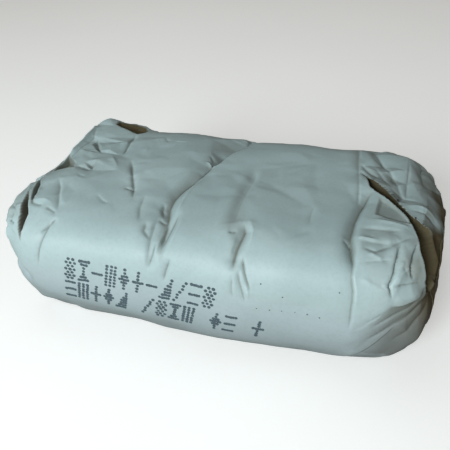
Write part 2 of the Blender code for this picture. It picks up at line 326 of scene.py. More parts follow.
def coarse_cells():
    """First corners of the coarse cells, in finest steps, and the two ways each runs."""
    sides = []
    for corner, u, v in CUBE_SIDES:
        u, v = np.array(u), np.array(v)
        count_u = COARSE_CELLS[int(np.argmax(np.abs(u)))]
        count_v = COARSE_CELLS[int(np.argmax(np.abs(v)))]
        i, j = np.meshgrid(np.arange(count_u), np.arange(count_v), indexing="ij")
        first = np.array(corner) * np.array(COARSE_CELLS) * FINEST
        corners = first + FINEST * (i.reshape(-1, 1) * u + j.reshape(-1, 1) * v)
        sides.append((corners, np.tile(u, (i.size, 1)), np.tile(v, (i.size, 1))))
    return [np.concatenate(parts) for parts in zip(*sides)]


COARSE = coarse_cells()


class Sheet:
    """Cells over the cube. A cell next to finer ones has their corners along its side."""

    def __init__(self, levels):
        cells = []
        for level in range(3):
            chosen = np.nonzero(levels == level)[0]
            corners, u, v = (part[chosen] for part in COARSE)
            step = FINEST >> level
            for a in range(0, FINEST, step):
                for b in range(0, FINEST, step):
                    cells.append((corners + a * u + b * v, np.full(len(chosen), step), u, v, chosen))
        first, size, u, v, parent = (np.concatenate(parts) for parts in zip(*cells))
        reach = size[:, None]
        cell_corners = [first, first + reach * u, first + reach * (u + v), first + reach * v]
        used = np.unique(np.concatenate([self.key(corner) for corner in cell_corners]))
        loops, counts, self.parents = [], [], []
        for step in (FINEST, FINEST // 2, 1):
            here = size == step
            around = self.around(first[here], u[here], v[here], step)
            kept = np.isin(around, used)
            loops.append(around[kept])
            counts.append(kept.sum(axis=1))
            self.parents.append(parent[here])
        self.parents = np.concatenate(self.parents)
        self.counts = np.concatenate(counts)
        self.starts = np.concatenate([[0], np.cumsum(self.counts)[:-1]])
        self.loops = np.searchsorted(used, np.concatenate(loops))
        self.cell_of = np.repeat(np.arange(len(self.counts)), self.counts)
        self.following = np.arange(1, len(self.loops) + 1)
        self.following[self.starts + self.counts - 1] = self.starts
        self.cube = self.place(used)

    @staticmethod
    def key(points):
        """A whole number for each point of the lattice."""
        steps = np.array(COARSE_CELLS, dtype=np.int64) * FINEST + 1
        return (points[:, 0] * steps[1] + points[:, 1]) * steps[2] + points[:, 2]

    @staticmethod
    def place(keys):
        """Points of the cube with sides from -1 to 1 for lattice keys."""
        steps = np.array(COARSE_CELLS) * FINEST
        x, rest = np.divmod(keys, (steps[1] + 1) * (steps[2] + 1))
        y, z = np.divmod(rest, steps[2] + 1)
        return np.stack([x, y, z], axis=1) / steps * 2.0 - 1.0

    def around(self, first, u, v, size):
        """Keys of the lattice points round each cell, in order."""
        rows = []
        for k in range(4 * size):
            side, along = divmod(k, size)
            a, b = ((along, 0), (size, along), (size - along, size), (0, size - along))[side]
            rows.append(self.key(first + a * u + b * v))
        return np.stack(rows, axis=1)

    def cell_normals(self, points):
        """Unit normals of the cells."""
        corners = points[self.loops]
        middles = np.add.reduceat(corners, self.starts, axis=0) / self.counts[:, None]
        spokes = corners - middles[self.cell_of]
        normals = np.add.reduceat(np.cross(spokes, spokes[self.following]), self.starts, axis=0)
        return normals / np.maximum(np.linalg.norm(normals, axis=1, keepdims=True), 1e-15)

    def spread(self, values):
        """The sum at each point of a value of every cell round it."""
        each = values[self.cell_of]
        columns = [np.bincount(self.loops, weights=each[:, k], minlength=len(self.cube))
                   for k in range(each.shape[1])]
        return np.stack(columns, axis=1)

    def normals(self, points):
        """Unit normals at the points."""
        total = self.spread(self.cell_normals(points))
        return total / np.maximum(np.linalg.norm(total, axis=1, keepdims=True), 1e-12)

    def bend(self, points):
        """How sharply the paper turns at each point, in 1 over metres: edges above 0, valleys below."""
        normals = self.normals(points)
        ends = self.loops[self.following]
        step = points[self.loops] - points[ends]
        size = np.einsum("ij,ij->i", step, step) + 1e-12
        turn = 2 * np.einsum("ij,ij->i", step, normals[self.loops]) / size
        total = np.bincount(self.loops, weights=turn, minlength=len(points))
        return total / np.bincount(self.loops, minlength=len(points))

    def smoothed(self, values, passes):
        """Values at points, evened out between neighbours."""
        ends = self.loops[self.following]
        number = np.bincount(self.loops, minlength=len(values)) + 1.0
        for _ in range(passes):
            around = np.bincount(self.loops, weights=values[ends], minlength=len(values))
            values = (values + around) / number
        return values


def busy_levels():
    """How finely to cut each coarse cell, from the turns of the paper on a trial sheet."""
    count = len(COARSE[0])
    trial = Paper(Sheet(np.ones(count, dtype=int)))
    fold_all(trial)
    points = trial.formed()
    sheet = trial.sheet
    total = np.linalg.norm(sheet.spread(sheet.cell_normals(points)), axis=1)
    turn = 1 - total / np.bincount(sheet.loops, minlength=len(points))
    worth = np.where(points[:, 1] > REAR_BEHIND, REAR_WORTH, 1.0)
    worth = np.where(points[:, 2] < FLOOR_BELOW, FLOOR_WORTH, worth)
    per_corner = (turn * worth)[sheet.loops]
    per_cell = np.maximum.reduceat(per_corner, sheet.starts)
    busy = np.zeros(count)
    np.maximum.at(busy, sheet.parents, per_cell)
    order = np.argsort(-busy, kind="stable")
    levels = np.zeros(count, dtype=int)
    levels[order[:FINE_CELLS + MIDDLE_CELLS]] = 1
    levels[order[:FINE_CELLS]] = 2
    return levels


# Folding

def unit(way):
    """A way with a length of 1."""
    way = np.array(way, float)
    return way / np.linalg.norm(way)


def chart_ways(facing):
    """Two ways across a flat chart that is seen from the way it faces."""
    facing = unit(facing)
    other = REAR if abs(facing[1]) < SIDEWAYS else UP
    right = unit(np.cross(np.array(other), facing))
    return right, np.cross(facing, right), facing


def on_chart(nodes, facing):
    """Nodes that start with x, y, z in mm: their places on a chart and in metres, and the rest."""
    right, up, _ = chart_ways(facing)
    nodes = np.array(nodes, float)
    places = nodes[:, :3] * MM
    return np.stack([places @ right, places @ up], axis=1), places, nodes[:, 3:]


def from_above(nodes):
    """Nodes with a height of 0 put in, which a chart seen from above doesn't use."""
    return [(x, y, 0, value) for x, y, value in nodes]


def ease(share):
    """A share held between 0 and 1, with soft ends."""
    share = np.clip(share, 0, 1)
    return share * share * (3 - 2 * share)


class Paper:
    """The sheet while it is being folded: its smooth form and what the folds add to it."""

    def __init__(self, sheet):
        self.sheet = sheet
        self.base = stand_ear(pillow_point(sheet.cube))
        self.normals = sheet.normals(self.base)
        self.rise = np.zeros(len(self.base))
        self.slide = np.zeros_like(self.base)
        self.shade = np.zeros(len(self.base))

    def near(self, route, reach):
        """Points within reach of a route: index, signed distance, share along, way off it."""
        route = np.array(route, float) * MM
        low = route.min(axis=0) - reach
        high = route.max(axis=0) + reach
        index = np.nonzero(np.all((self.base > low) & (self.base < high), axis=1))[0]
        points, normals = self.base[index], self.normals[index]
        lengths = np.linalg.norm(np.diff(route, axis=0), axis=1)
        starts = np.concatenate([[0.0], np.cumsum(lengths)])
        best = np.full(len(index), FAR)
        signed = np.zeros(len(index))
        share = np.zeros(len(index))
        away = np.zeros((len(index), 3))
        for k, length in enumerate(lengths):
            run = (route[k + 1] - route[k]) / length
            rel = points - route[k]
            place = np.clip(rel @ run, 0, length)
            off = rel - place[:, None] * run
            off -= np.einsum("ij,ij->i", off, normals)[:, None] * normals
            distance = np.linalg.norm(off, axis=1)
            side = np.einsum("ij,ij->i", np.cross(normals, np.broadcast_to(run, off.shape)), off)
            closer = distance < best
            best[closer] = distance[closer]
            signed[closer] = np.where(side < 0, -distance, distance)[closer]
            share[closer] = ((starts[k] + place) / starts[-1])[closer]
            away[closer] = off[closer]
        inside = best < reach
        return index[inside], signed[inside], share[inside], away[inside]

    def fold(self, kind, route, depth, width, other=None, ends=0.25, overhang=0.0):
        """One fold in mm. Width lies left of the route seen from outside, other right of it, and it
        fades over a share of the route at both ends. An overhang draws its left side over its right."""
        depth, width = depth * MM, width * MM
        other = width if other is None else other * MM
        reach = FOLD_REACH * max(width, other, overhang * MM) + FOLD_MARGIN * MM
        index, signed, share, away = self.near(route, reach)
        fade = ease(np.minimum(share, 1 - share) / ends) if ends > 0 else 1.0
        scale = np.where(signed > 0, width, other)
        distance = np.abs(signed)
        if kind in ("crease", "ridge"):
            soft = CREASE_SOFTNESS * MM
            profile = np.exp(-(np.sqrt(distance ** 2 + soft ** 2) - soft) / scale)
            profile = profile * ease((reach - distance) / (CREASE_END * reach))
        else:
            profile = np.exp(-(distance / scale) ** 2)
        direction = -1.0 if kind in ("crease", "trough") else 1.0
        self.rise[index] += direction * depth * fade * profile
        # A crease gets painted shade along its line, darker the deeper it is
        if kind == "crease":
            painted_crease_shade = min(CREASE_SHADE * depth / MM, MOST_CREASE_SHADE)
            shade_width = max(LEAST_SHADE_WIDTH * MM, CREASE_SHADE_WIDTH * (width + other) / 2)
            painted_crease_shade = painted_crease_shade * fade * np.exp(-(distance / shade_width) ** 2)
            self.shade[index] = np.maximum(self.shade[index], painted_crease_shade)
        if overhang:
            drag = max(DRAG_OF_WIDTH * width, DRAG_OF_OVERHANG * overhang * MM)
            over = overhang * MM * fade * np.exp(-distance / drag) * (signed > 0)
            self.slide[index] -= away / np.maximum(distance, 1e-9)[:, None] * over[:, None]

    def folds(self, rows):
        """Folds in order, each as its kind, depth, left and right width and ends, then its route."""
        for kind, depth, width, other, ends, *route in rows:
            self.fold(kind, route, depth, width, other, ends)

    def seen(self, facing):
        """Points whose paper faces a way: index, place on its chart, nearness and how much they face it."""
        right, up, ahead = chart_ways(facing)
        turned = self.normals @ ahead
        index = np.nonzero(turned > GRAZING)[0]
        points = self.base[index]
        chart = np.stack([points @ right, points @ up], axis=1)
        share = ease((turned[index] - GRAZING) / GRAZING_FADE)
        return index, chart, points @ ahead, share

    def sink(self, outline, depth, wall, facing, shade=0.0, lip=0.0):
        """A gap in the paper: everything inside the outline goes down, within a wall of some mm."""
        corners, _, _ = on_chart(outline, facing)
        index, chart, _, share = self.seen(facing)
        room = GAP_ROOM * MM
        close = np.all((chart > corners.min(axis=0) - room) & (chart < corners.max(axis=0) + room), axis=1)
        index, chart, facing_share = index[close], chart[close], share[close]
        inside = np.zeros(len(index), dtype=bool)
        distance = np.full(len(index), FAR)
        for start, end in zip(corners, np.roll(corners, -1, axis=0)):
            run = end - start
            share = np.clip(((chart - start) @ run) / (run @ run), 0, 1)
            distance = np.minimum(distance, np.linalg.norm(chart - start - share[:, None] * run, axis=1))
            crosses = (start[1] > chart[:, 1]) != (end[1] > chart[:, 1])
            with np.errstate(divide="ignore", invalid="ignore"):
                meets = (end[0] - start[0]) * (chart[:, 1] - start[1]) / (end[1] - start[1]) + start[0]
            inside ^= crosses & (chart[:, 0] < meets)
        sunk = np.where(inside, ease(distance / (wall * MM)), 0.0) * facing_share
        self.rise[index] -= depth * MM * sunk
        self.rise[index] += lip * MM * np.where(inside, 0.0, np.exp(-distance / (LIP_WIDTH * MM)))
        # Painted shade inside the gap, spilling a little over its rim
        past = (np.where(inside, distance, -distance) + GAP_SHADE_RIM * MM) / (GAP_SHADE_WALL * wall * MM)
        self.shade[index] = np.maximum(self.shade[index], shade * ease(past) * facing_share)

    def sinks(self, rows, facing):
        """Gaps in order, each as its depth, wall, shade and lip, then its outline."""
        for depth, wall, shade, lip, *outline in rows:
            self.sink(outline, depth, wall, facing, shade, lip)

    def spread_over(self, nodes, values, index, chart, places=None, flatness=None):
        """Values spread over flat triangles between nodes, and the pull that draws paper flat there."""
        found = delaunay_2d_cdt([Vector(node) for node in nodes], [], [], 0, NODE_SLACK)
        corners, triangles, sources = found[0], found[2], found[3]
        sources = [names[0] for names in sources]
        corners = np.array([tuple(corner) for corner in corners])
        order = np.argsort(chart[:, 0])
        sorted_places = chart[order, 0]
        spread = np.zeros(len(index))
        pull = np.zeros((len(index), 3))
        for triangle in triangles:
            a, b, c = corners[list(triangle)]
            low = np.minimum(np.minimum(a, b), c)
            high = np.maximum(np.maximum(a, b), c)
            near = order[slice(*np.searchsorted(sorted_places, (low[0], high[0])))]
            near = near[(chart[near, 1] >= low[1]) & (chart[near, 1] <= high[1])]
            area = (b[0] - a[0]) * (c[1] - a[1]) - (b[1] - a[1]) * (c[0] - a[0])
            if not len(near) or abs(area) < LEAST_AREA:
                continue
            rel = chart[near] - a
            share_b = (rel[:, 0] * (c[1] - a[1]) - rel[:, 1] * (c[0] - a[0])) / area
            share_c = (rel[:, 1] * (b[0] - a[0]) - rel[:, 0] * (b[1] - a[1])) / area
            shares = np.stack([1 - share_b - share_c, share_b, share_c], axis=1)
            within = np.all(shares >= -SLACK, axis=1)
            near, shares = near[within], shares[within]
            names = [sources[k] for k in triangle]
            spread[near] = shares @ values[names]
            if places is not None:
                gap = shares @ places[names] - self.base[index[near]]
                pull[near] = gap * (shares @ flatness[names])[:, None]
        return spread, pull

    def facet(self, nodes, heights, index, chart, facing_share, places=None, flatness=None):
        """Raise the paper into flat triangles between the nodes."""
        rise, pull = self.spread_over(nodes, heights, index, chart, places, flatness)
        size = np.linalg.norm(pull, axis=1, keepdims=True)
        held = np.minimum(1, MOST_PULL / np.maximum(size, 1e-9))
        self.rise[index] += rise * facing_share
        self.slide[index] += pull * (facing_share[:, None] * held)

    def paint_shade(self, nodes, facing):
        """Painted shade spread evenly between nodes given as x, y, z in mm and a share of it."""
        flat_nodes, _, rest = on_chart(nodes, facing)
        index, chart, _, share = self.seen(facing)
        painted_shade, _ = self.spread_over(flat_nodes, rest[:, 0], index, chart)
        self.shade[index] = np.maximum(self.shade[index], painted_shade * share)

    def facets(self, nodes, facing):
        """Flat facets between nodes: x, y, z and height in mm, and for some how flat as a share."""
        flat_nodes, places, rest = on_chart(nodes, facing)
        index, chart, _, share = self.seen(facing)
        heights = rest[:, 0] * MM
        if rest.shape[1] > 1:
            self.facet(flat_nodes, heights, index, chart, share, places, rest[:, 1])
        else:
            self.facet(flat_nodes, heights, index, chart, share)

    def crumple(self, place, radius, depth, size, seed, facing, grain=None, long=1.0, flat=0.0):
        """Handled paper: facets of about a size in mm, strongest at a place, longer along a grain."""
        right, up, ahead = chart_ways(facing)
        middle = np.array(place, float) * MM
        centre = np.array([middle @ right, middle @ up])
        radius, size = radius * MM, size * MM
        turn = 0.0
        if grain is not None:
            turn = math.atan2(float(np.dot(grain, up)), float(np.dot(grain, right)))
        spin = np.array([[math.cos(turn), math.sin(turn)], [-math.sin(turn), math.cos(turn)]])
        chance = np.random.default_rng(seed)
        count = int(math.ceil(radius / size)) + 1
        i, j = np.meshgrid(np.arange(-count, count + 1), np.arange(-count, count + 1), indexing="ij")
        nodes = np.stack([i.ravel() * size, j.ravel() * size], axis=1)
        nodes = nodes + chance.uniform(-NODE_UNEVENNESS, NODE_UNEVENNESS, nodes.shape) * size
        nodes = nodes[np.linalg.norm(nodes, axis=1) < radius + size]
        window = (1 - np.clip(np.linalg.norm(nodes, axis=1) / radius, 0, 1) ** 2) ** CRUMPLE_POWER
        heights = chance.normal(size=len(nodes)) * depth * MM * window
        index, chart, ahead_place, share = self.seen(facing)
        rel = (chart - centre) @ spin.T / np.array([long, 1.0])
        close = np.linalg.norm(rel, axis=1) < radius * CRUMPLE_ROOM
        index, rel, chart = index[close], rel[close], chart[close]
        ahead_place, share = ahead_place[close], share[close]
        if not len(index):
            return
        if not flat:
            self.facet(nodes, heights, index, rel, share)
            return
        plain = nodes * np.array([long, 1.0]) @ spin + centre
        nearest = np.array([np.argmin(np.sum((chart - node) ** 2, axis=1)) for node in plain])
        normal = self.normals[index[nearest]]
        off = plain - chart[nearest]
        slope = -(off[:, 0] * (normal @ right) + off[:, 1] * (normal @ up))
        slope = slope / np.maximum(normal @ ahead, STEEPEST)
        places = plain[:, :1] * right + plain[:, 1:] * up + (ahead_place[nearest] + slope)[:, None] * ahead
        self.facet(nodes, heights, index, rel, share, places, flat * window)

    def formed(self):
        """Where the points lie once folded, none of them under the floor."""
        points = self.base + self.normals * self.rise[:, None] + self.slide
        points[:, 2] = np.maximum(points[:, 2], 0.0)
        return points

    def swell(self, depth, length, seed):
        """Soft unevenness of the filling, in waves of about a length in mm."""
        chance = np.random.default_rng(seed)
        total = np.zeros(len(self.base))
        for _ in range(SWELL_WAVES):
            way = unit(chance.normal(size=3))
            size = length * MM * chance.uniform(*SWELL_LENGTHS)
            start = chance.uniform(0, SWELL_START)
            total += np.sin(self.base @ way * (2 * math.pi / size) + start) * size
        total *= depth * MM / total.std()
        held = ease(self.base[:, 2] / SWELL_HEIGHT)
        self.rise += total * held


def fold_overall(paper):
    """The uneven filling, and the faint facets of paper that has been handled, on every side."""
    paper.swell(1.0, 170, 30)
    sides = (
        (UP, (0, 0, 146), 330, 0.95),
        (FRONT, (0, -142, 70), 300, 0.35),
        (REAR, (0, 142, 70), 300, 0.8),
    )
    for k, (facing, place, radius, depth) in enumerate(sides):
        paper.crumple(place, radius, depth, 38, 40 + k, facing)
        paper.crumple(place, radius, 0.4 * depth, 16, 50 + k, facing)
    for k, sign in enumerate((-1, 1)):
        facing = (sign, 0, 0)
        paper.crumple((sign * 235, 0, 70), 190, 1.5, 30, 60 + k, facing, flat=0.5)
        paper.crumple((sign * 235, 0, 70), 190, 0.5, 12, 62 + k, facing)


# Troughs at the foot of the long side: kind, depth, widths, ends, then the route
FEET = (
    ("trough", 5.5, 20, 20, 0.25, (-224, -92, 20), (-212, -122, 15), (-188, -130, 14), (-148, -131, 14)),
    ("trough", 4.5, 20, 20, 0.25, (-224, -92, 20), (-212, -122, 15), (-180, -130, 14), (-40, -131, 14)),
    ("trough", 2.6, 13, 13, 0.16, (-222, -114, 58), (-206, -130, 46), (-180, -135, 38), (-120, -138, 31),
     (0, -138, 26)),
    ("trough", 1.4, 18, 18, 0.3, (76, -131, 14), (150, -128, 15), (200, -116, 18)),
    ("trough", 6.0, 9, 9, 0.25, (-228, -94, 94), (-225, -116, 86), (-219, -130, 75), (-210, -136, 65),
     (-198, -140, 56)),
)


def fold_feet(paper):
    """The foot of the long side, which rounds up off the floor towards both ends."""
    paper.folds(FEET)


# Corners of the flat facets under the lip at the rear of the waist: x, y and height
WAIST_TUCK = (
    (-46, 92, 0.5), (-39, 58, 0.8), (-30, 22, -2.0), (-21, 56, -5.5), (-8, 84, -4.5), (-8, 116, 1.5),
    (-40, 120, -0.5), (4, 84, 0.8), (8, 112, 0), (-9, 54, 1.5), (-19, 22, 1.0), (-26, -5, 0),
    (-34, -5, 0), (30, 70, 0), (26, 120, 0), (-70, 80, 0), (-60, 30, 0), (10, 20, 0), (-30, 135, 0),
    (10, 135, 0),
)

# Shade in the valley, left of the lip: x, y and share
WAIST_SHADE = (
    (-6, 112, 0.14), (-9, 88, 0.38), (-26, 88, 0.36), (-42, 90, 0.2), (-37, 60, 0.22), (-12, 72, 0.42),
    (-22, 46, 0.46), (-30, 22, 0.42), (-34, 0, 0.4), (-41, -16, 0.42), (-47, -32, 0.44), (-52, -52, 0.46),
    (-53, -70, 0.44), (-49, -86, 0.34), (-46, -100, 0.42), (-54, 92, 0), (-48, 60, 0), (-45, 36, 0),
    (-48, 8, 0), (-58, -20, 0), (-64, -44, 0), (-63, -68, 0), (-60, -90, 0), (-34, 108, 0), (2, 126, 0),
    (3, 104, 0), (-1, 84, 0), (-9, 66, 0), (-18, 44, 0), (-25, 25, 0), (-29, 5, 0), (-35, -14, 0),
    (-41, -32, 0), (-45, -50, 0), (-46, -68, 0), (-43, -84, 0), (-40, -98, 0), (-44, -112, 0.4),
    (-43, -122, 0.34), (-42, -131, 0.2), (-41, -138, 0), (-52, -108, 0), (-50, -120, 0), (-48, -132, 0),
    (-38, -112, 0), (-37, -124, 0), (-37, -134, 0),
)

# Pleats that gather at the valley: kind, depth, widths, ends, then the route
WAIST_PLEATS = (
    ("ridge", 1.8, 2.2, 2.6, 0.25, (-30, -12, 146), (-34, -26, 146), (-37, -42, 146), (-38, -58, 146),
     (-39, -76, 145), (-41, -92, 144)),
    ("ridge", 3.2, 1.6, 3.0, 0.4, (-40, 35, 146), (-31, 27, 146), (-23, 18, 146)),
    ("crease", 1.6, 1.6, 1.6, 0.4, (-39, 52, 146), (-33, 43, 146), (-29, 35, 146)),
    ("crease", 3.4, 2.0, 3.4, 0.35, (-35, -80, 145), (-37, -97, 142), (-39, -113, 138), (-42, -132, 124)),
    ("crease", 1.8, 5.0, 2.0, 0.35, (-58, -82, 144), (-58, -102, 141), (-57, -119, 135), (-55, -133, 123),
     (-56, -141, 102)),
    ("crease", 2.6, 3.4, 1.6, 0.35, (-60, -62, 146), (-58, -76, 146), (-52, -90, 144)),
    ("crease", 2.2, 2.4, 1.6, 0.35, (-49, -121, 134), (-51, -134, 122), (-55, -140, 106)),
    ("crease", 2.4, 1.8, 2.8, 0.35, (-31, -133, 124), (-35, -139, 111), (-39, -141, 94)),
    ("crease", 2.0, 5.0, 2.0, 0.35, (-68, -98, 142), (-66, -113, 138), (-56, -122, 133)),
    ("crease", 1.5, 5.0, 2.4, 0.35, (-85, -52, 146), (-83, -79, 145), (-74, -106, 140)),
    ("crease", 0.9, 3.0, 1.4, 0.35, (-113, 88, 144), (-106, 77, 145), (-99, 66, 146)),
    ("ridge", 2.0, 2.4, 2.4, 0.3, (-44, -78, 145), (-44, -97, 143), (-46, -118, 136), (-49, -138, 112)),
    ("ridge", 1.3, 2.4, 6.0, 0.35, (-29, -82, 145), (-30, -100, 142), (-33, -118, 136), (-36, -135, 121)),
    ("crease", 1.8, 1.4, 2.6, 0.35, (-57, -92, 143), (-52, -95, 143), (-46, -98, 142)),
)


def fold_waist(paper):
    """The deep valley across the middle, under the lip of the fuller right half, and its pleats."""
    rear = (
        (1, 126, 138), (1, 104, 143), (-5, 83, 144), (-20, 58, 146), (-29, 22, 146), (-34, -2, 146),
        (-41, -20, 146),
    )
    front = rear[-2:] + (
        (-47, -36, 146), (-51, -54, 146), (-51, -72, 146), (-47, -88, 144), (-44, -104, 141),
        (-43, -122, 132), (-42, -133, 123),
    )
    paper.fold("trough", rear + front[2:], 4.5, 10, other=26, ends=0.14)
    paper.fold("crease", rear, 4.6, 1.6, other=8, ends=0.16)
    paper.fold("crease", front, 5.0, 3.6, other=6, ends=0.15)
    paper.paint_shade(from_above(WAIST_SHADE), UP)
    paper.facets(from_above(WAIST_TUCK), UP)
    paper.folds(WAIST_PLEATS)


# Shade in the soft trough of the second wrinkle: x, y and share
SECOND_SHADE = (
    (22, 26, 0.06), (23, 0, 0.15), (22, -31, 0.2), (20, -55, 0.24), (19, -75, 0.26), (21, -97, 0.28),
    (30, -97, 0.28), (27, -75, 0.24), (28, -52, 0.16), (14, 26, 0), (14, 0, 0), (12, -31, 0), (9, -58, 0),
    (8, -100, 0), (32, 24, 0), (33, -6, 0), (33, -31, 0), (34, -52, 0), (34, -75, 0), (20, -103, 0),
    (24, 36, 0), (30, -104, 0.3), (36, -96, 0.34), (31, -112, 0.22), (38, -108, 0.3), (30, -124, 0.16),
    (36, -120, 0.24), (30, -136, 0.05), (35, -134, 0.1), (43, -98, 0), (43, -110, 0), (41, -124, 0),
    (39, -138, 0), (25, -114, 0), (24, -128, 0), (24, -138, 0), (38, -84, 0),
)

# The second wrinkle: kind, depth, widths, ends, then the route
WRINKLES = (
    ("trough", 2.6, 4.0, 7.0, 0.2, (27, 25, 146), (28, -6, 146), (25, -33, 146), (24, -61, 146),
     (24, -98, 143)),
    ("crease", 1.8, 4.0, 1.2, 0.35, (20, -102, 141), (31, -101, 142)),
    ("crease", 5.0, 4.0, 6.0, 0.25, (34, -86, 144), (38, -100, 142), (36, -110, 139), (34, -120, 134),
     (33, -129, 128), (33, -137, 117)),
    ("ridge", 1.8, 4.0, 2.6, 0.45, (37, -80, 144), (42, -89, 144), (46, -99, 142), (46, -109, 140),
     (45, -121, 135)),
    ("ridge", 1.2, 2.2, 4.0, 0.35, (30, -104, 141), (29, -117, 136), (28, -129, 128)),
    ("trough", 5.0, 9, 5.0, 0.3, (2, 130, 132), (5, 113, 140), (13, 96, 143)),
    ("trough", 3.2, 16, 16, 0.06, (4, 122, 140), (60, 124, 140), (130, 120, 141), (180, 106, 142)),
    ("crease", 4.0, 1.4, 3.6, 0.3, (40, -122, 133), (42, -129, 127), (45, -136, 119), (48, -140, 111),
     (53, -142, 99)),
    ("ridge", 1.4, 1.6, 1.6, 0.3, (41, -131, 126), (44, -136, 117), (48, -140, 107), (51, -142, 90)),
    ("crease", 2.0, 1.4, 2.4, 0.35, (38, -132, 125), (40, -138, 112), (44, -141, 99), (48, -142, 83)),
    ("crease", 1.2, 1.2, 2.0, 0.35, (33, -137, 117), (33, -141, 102), (35, -142, 88)),
)

# Faint wrinkles of the right half in the same way
FAINT_WRINKLES = (
    ("trough", 1.0, 8, 8, 0.4, (99, 70, 146), (96, 30, 147), (101, -20, 147)),
    ("crease", 0.9, 2.4, 2.4, 0.4, (101, -38, 148), (99, -62, 147), (100, -84, 145)),
)


def fold_wrinkles(paper):
    """The second wrinkle across the right half, soft above and sharp on the front edge."""
    paper.paint_shade(from_above(SECOND_SHADE), UP)
    paper.folds(WRINKLES)
    paper.crumple((90, -40, 147), 80, 0.8, 34, 33, UP, grain=(0.9, 0.4, 0), long=1.8)
    paper.folds(FAINT_WRINKLES)


# Corners of flat facets at the left end, with its ear: x, y, z, height and how flat they draw the paper
LEFT_STAR = (
    (-166, 28, 147, 1.6, 0.6), (-191, 64, 148, 0.9, 0.6), (-150, 24, 147, -2.0, 0.4),
    (-133, -17, 147, 0.6, 0.4), (-166, -2, 147, 0.9, 0.6), (-152, 75, 147, -1.8, 0.4),
    (-154, 56, 147, 0.8, 0.4), (-183, 79, 148, 0.6, 0.6), (-195, 52, 147, -2.0, 0.6),
    (-174, 21, 148, -1.4, 0.6), (-198, 22, 147, 0.3, 0.6), (-187, -4, 147, 1.0, 0.6),
    (-167, -23, 147, -2.4, 0.5), (-190, -22, 147, -0.8, 0.6), (-163, -46, 147, 0.2, 0.4),
    (-174, -44, 147, 1.2, 0.6), (-141, -64, 146, 0.6, 0.2), (-174, -66, 146, -0.8, 0.5),
    (-193, -52, 147, 1.0, 0.6), (-167, -107, 141, -0.4, 0.4), (-193, -82, 145, 0.8, 0.6),
    (-114, -43, 147, -0.9, 0.2), (-132, 17, 147, -1.2, 0.2), (-100, -51, 146, -0.8, 0.2),
    (-192, 99, 146, 2.0, 0.3), (-212, 64, 146, 3.0, 0.4), (-216, 98, 144, 5.0, 0.3),
    (-206, 114, 145, 9.0, 0), (-191, 124, 142, 6.0, 0), (-168, 130, 139, 4.5, 0),
    (-146, 130, 139, 3.0, 0), (-196, 132, 120, 1.0, 0), (-214, 30, 145, 0.6, 0.3),
    (-217, -2, 144, -0.8, 0.3), (-217, -34, 144, -1.4, 0.3), (-221, -68, 142, 2.0, 0.2),
    (-225, -100, 134, 4.6, 0.2), (-222, -118, 122, 3.0, 0), (-135, 108, 143, 0, 0),
    (-130, 133, 125, 0, 0), (-90, 95, 144, 0, 0), (-70, 30, 146, 0, 0), (-72, -40, 146, 0, 0),
    (-105, -95, 143, 0, 0), (-150, -132, 124, 0, 0), (-200, -132, 116, 0, 0), (-224, -100, 108, 0, 0),
    (-228, -30, 118, 0, 0), (-226, 30, 118, 0, 0), (-222, 85, 118, 0, 0), (-206, 126, 118, 0, 0),
)

# Shade on the outside of the left rim and in the hollows by its pocket: x, y, z and share
RIM_SHADE = (
    (-224, -106, 130, 0.3), (-224, -92, 134, 0.32), (-221, -70, 141, 0.26), (-219, -48, 144, 0.16),
    (-230, -90, 120, 0.2), (-228, -50, 128, 0.2), (-224, -10, 132, 0.1), (-222, 40, 132, 0),
    (-216, 5, 145, 0), (-226, -118, 112, 0), (-217, -112, 134, 0.22), (-214, -96, 142, 0.16),
    (-216, -78, 144, 0.16), (-206, -60, 146, 0), (-200, -80, 146, 0), (-196, -112, 138, 0),
    (-236, -60, 90, 0), (-208, -20, 146, 0), (-198, -22, 147, 0.3), (-184, -22, 148, 0.2),
    (-172, -22, 147, 0.3), (-172, -8, 147, 0.22), (-180, -12, 148, 0.05), (-190, -10, 147, 0),
    (-164, 0, 147, 0), (-160, -24, 147, 0), (-185, -32, 148, 0),
)

# Gaps behind the left rim: depth, wall, share of painted shade and lip, then the outline
LEFT_GAPS = (
    (13, 3.4, 0.85, 1.2, (-216, -78, 144), (-207, -96, 143), (-199, -112, 138), (-199, -124, 131),
     (-201, -133, 119), (-205, -126, 127), (-208, -113, 136), (-213, -94, 142)),
    (11, 1.8, 0.7, 1.0, (-218, -52, 145), (-210, -66, 146), (-204, -84, 145), (-201, -100, 142),
     (-206, -90, 144), (-212, -74, 145)),
    (8, 3.0, 0.7, 0.6, (-213, 8, 145), (-204, -2, 146), (-194, -12, 147), (-190, -24, 148),
     (-198, -25, 147), (-208, -30, 146), (-215, -34, 145), (-215, -13, 144)),
)

# Dents of the left end in the same way
LEFT_DENTS = (
    (3.6, 7.0, 0.2, 0, (-184, -10, 148), (-165, -1, 147), (-165, -26, 147)),
    (3.6, 3.0, 0.25, 0, (-197, 57, 147), (-186, 41, 148), (-173, 19, 148), (-183, 25, 148),
     (-197, 41, 147)),
)

# The pocket at the rear corner of the left end in the same way
REAR_POCKET = (
    (6.0, 9.0, 1.0, 0, (-193, 118, 142), (-181, 123, 141), (-166, 126, 139), (-152, 123, 140),
     (-143, 110, 143), (-144, 98, 145), (-152, 87, 146), (-166, 94, 145), (-180, 98, 146),
     (-193, 105, 146)),
)

# Where the paper is slit inside the valve's tube, in the same way
VALVE_SLIT = (
    (5.0, 2.4, 1.0, 0, (-204, 134, 29), (-204, 134, 103), (-200, 134, 108), (-196, 134, 103),
     (-196, 134, 29), (-200, 134, 24)),
)

